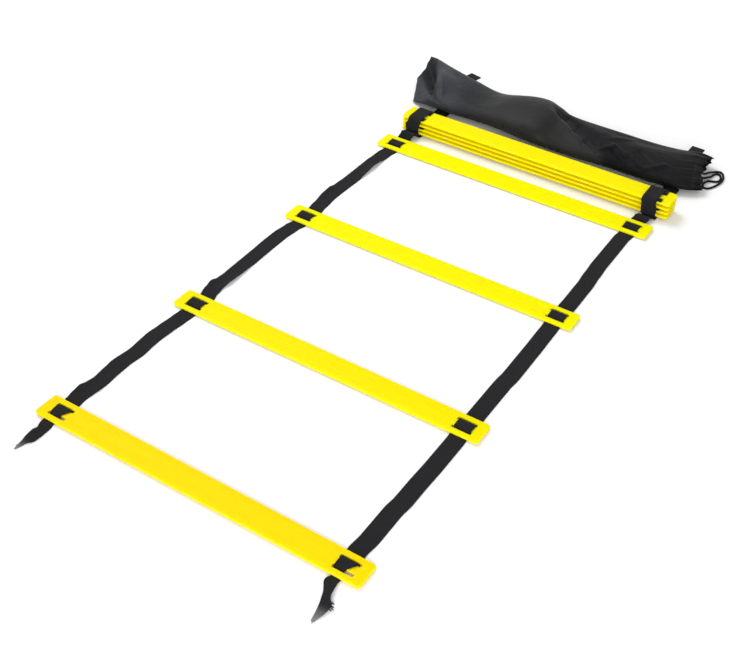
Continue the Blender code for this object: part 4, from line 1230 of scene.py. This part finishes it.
for label, place in (("outer", hem_share + 0.0022), ("inner", hem_share + 0.0066)):
    sew(f"hem_stitches_{label}",
        [skin_point(place, math.radians(angle), -0.0001) for angle in range(4, 178, 2)])
for tab_row in TAB_SHARES:
    middle, edge, outward = tab_place(*tab_row)
    middle.z += TAB_LAYER + 0.0002
    for label, reach in (("seam", -0.0075), ("tip", 0.0065)):
        start = middle + outward * reach
        sew(f"tab_stitches_{label}_{tab_row[0]}",
            [start + edge * (TAB_WIDTH * (part / 12 - 0.5) * 0.86) for part in range(13)])


# Drawstring
# A limp braided polyester cord leaves the hem, makes a loop on the floor past the mouth
# with a smaller loop inside it, and goes back into the hem.

CORD_THICKNESS = 0.0036
CORD_STEP = 0.0026
# Millimetres from the middle of the mouth: out of it, behind it and up
CORD_ROUTE = (
    (-9.3, 1, 10.6), (-6.8, 1.4, 10.5), (-4.4, 4.2, 9.8), (-3.4, 12, 7.8), (-1.5, 20, 5.3),
    (1.6, 27, 3.5), (5.8, 33.2, 2.4), (11.2, 36.2, 2), (16.4, 33.6, 2), (20, 27.6, 2),
    (22.6, 20, 2), (24, 12, 2), (23.6, 4, 2), (21.6, -4, 2), (19, -12, 2), (15.6, -19.6, 2),
    (11, -25.4, 2), (5.4, -26.6, 2.4), (1.6, -22.4, 3.3), (1.4, -16.4, 4), (2.6, -9.6, 3.7),
    (5, -3.6, 2.9), (9.8, 0.2, 2.2), (15.6, 3, 2), (19.5, 8, 2), (19.8, 15, 2), (17.6, 21.8, 2),
    (13.8, 27.2, 2), (9.2, 27.8, 2), (5.8, 22.6, 2.2), (4.4, 15.6, 2.6), (2.8, 8.4, 3.7),
    (0.2, 1.6, 5.7), (-2.2, -5.6, 7.6), (-4.6, -9.2, 8.8), (-6.4, -10.2, 9.1),
)


def smooth_route(route, step):
    """Evenly spaced points of a smooth curve through a route's points, and its length."""
    dense = [Vector(curve_point(route, index, tick / 16))
             for index in range(len(route) - 1) for tick in range(16)]
    dense.append(Vector(route[-1]))
    total = sum((b - a).length for a, b in zip(dense, dense[1:]))
    count = max(2, round(total / step))
    points = [dense[0]]
    travelled = 0.0
    for a, b in zip(dense, dense[1:]):
        length = (b - a).length
        while len(points) < count and travelled + length >= total * len(points) / count:
            points.append(a.lerp(b, (total * len(points) / count - travelled) / length))
        travelled += length
    points.append(dense[-1])
    return points, total


def cord_finish():
    """Black braided polyester: two sets of strands crossing round the cord."""
    material, start = new_material("drawstring_cord", {"Specular IOR Level": 0.07})
    around, along = start.chart()
    one = abs(((along * 700.0 + around * 900.0) * math.pi).math("SINE"))
    two = abs(((along * 700.0 - around * 900.0) * math.pi).math("SINE"))
    braid = one.math("MAXIMUM", two)
    # Painted highlight on the strands' crowns and painted shade between them
    colour = braid.fade(0.3, 1.0).blend((0.003, 0.003, 0.004, 1.0), (0.010, 0.010, 0.012, 1.0))
    connect(material, {"Base Color": colour, "Roughness": 0.60 + braid * 0.1}, braid, 0.00025)
    return material


front, depth, _, _ = bag_section(1.0)
mouth = Vector((bag_left + BAG_LENGTH, front + depth / 2, 0.0))
route = [Vector(point) / 1000 for point in CORD_ROUTE]
for point in (route[0], route[-1]):
    hem_x = bag_point(1.0, math.acos(2 * point.y / depth)).x
    point.x = hem_x - mouth.x + 0.0003 + 0.2 * CORD_THICKNESS
route, cord_length = smooth_route(route, CORD_STEP)
route = [mouth + point for point in route]
rows = []
side_way = Vector((0.0, 0.0, 1.0))
for index, point in enumerate(route):
    before, after = neighbours(route, index)
    heading = (after - before).normalized()
    side_way = (side_way - heading * side_way.dot(heading)).normalized()
    rows.append((point, side_way, heading.cross(side_way), CORD_THICKNESS / 2, 0.0, 0.0,
                 index * cord_length / (len(route) - 1)))
round_ring = [(math.cos(2 * math.pi * i / 14), math.sin(2 * math.pi * i / 14)) for i in range(14)]
cord_section = section_outline("cord_section", round_ring)
cord = grow(weaver, chain_object("cord_chain", rows), "drawstring",
            {"Section": cord_section, "Thickness": CORD_THICKNESS, "Material": cord_finish()})
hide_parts("bag_drawstring")
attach(cord, "bag")
bpy.data.objects.remove(cord_section, do_unlink=True)
bpy.data.objects.remove(web_section, do_unlink=True)


# Floor, light and camera
# A plain pale floor under soft, even studio light, with a little more from behind on
# the left, so that faint shadows fall toward the camera.

FLOOR_GREY = (0.80, 0.80, 0.80, 1.0)
WHITE = (1.0, 1.0, 1.0, 1.0)
BLACK = (0.0, 0.0, 0.0, 1.0)
ROOM_LEVEL = 0.52
# From here to there, in metres from the middle, the floor fades into the white background
FADE_START = 1.1
FADE_END = 2.0
floor_mesh = bpy.data.meshes.new("studio_floor")
floor_mesh.from_pydata([(-6, -6, 0), (6, -6, 0), (6, 6, 0), (-6, 6, 0)], [], [(0, 1, 2, 3)])
floor_material, start = new_material("studio_floor", {
    "Roughness": 0.9, "Specular IOR Level": 0.0, "Emission Strength": 1.0})


def shown_white(wire):
    """1 where a ray shows the background: to the camera, mirrored or through glass."""
    camera, mirrored, through = (wire.node("ShaderNodeLightPath", {}, name) for name in (
        "Is Camera Ray", "Is Glossy Ray", "Is Transmission Ray"))
    return camera.math("MAXIMUM", mirrored.math("MAXIMUM", through))


spot = start.where()
away = spot.node("ShaderNodeVectorMath", {0: spot}, "Value", operation="LENGTH")
camera_ray = start.node("ShaderNodeLightPath", {}, "Is Camera Ray")
paper_white = away.fade(FADE_START, FADE_END) * camera_ray
connect(floor_material, {"Base Color": shown_white(start).blend(FLOOR_GREY, WHITE),
                         "Emission Color": paper_white.blend(BLACK, WHITE)})
floor = place_piece("studio_floor", floor_mesh, floor_material)

world = bpy.data.worlds.new("studio")
bpy.context.scene.world = world
world.use_nodes = True
background = world.node_tree.nodes["Background"]
background.inputs["Color"].default_value = WHITE
level = shown_white(Wire(world.node_tree)).fade(0.0, 1.0, ROOM_LEVEL, 1.0)
world.node_tree.links.new(level.socket, background.inputs["Strength"])


def add_lamp(name, place, target, size, power):
    """A square soft light aimed at a point."""
    lamp = bpy.data.lights.new(name, "AREA")
    lamp.size = size
    lamp.energy = power
    item = bpy.data.objects.new(name, lamp)
    item.location = place
    item.rotation_euler = (Vector(target) - Vector(place)).to_track_quat("-Z", "Y").to_euler()
    bpy.context.scene.collection.objects.link(item)


add_lamp("left_light", (-1.5, 0.9, 2.3), (0.0, 0.1, 0.0), 1.4, 41.5)
add_lamp("front_light", (1.2, -2.4, 0.98), (0.0, 0.0, 0.0), 1.9, 61.0)

camera_data = bpy.data.cameras.new("photo_camera")
camera_data.lens = 55.17
camera_data.sensor_width = 36.0
camera_data.sensor_fit = "HORIZONTAL"
camera_data.clip_start = 0.01
camera = bpy.data.objects.new("photo_camera", camera_data)
right = Vector((0.83953, 0.54284, 0.02283))
down = Vector((0.36551, -0.53319, -0.76296))
forward = Vector((-0.40199, 0.64887, -0.64604))
turned = Matrix((right, -down, -forward)).transposed().to_4x4()
place = middle_of("rung_1") + Vector((0.675368, -0.686837, 1.041668))
camera.matrix_world = Matrix.Translation(place) @ turned
bpy.context.scene.collection.objects.link(camera)
bpy.context.scene.camera = camera
bpy.context.scene.view_settings.view_transform = "Standard"
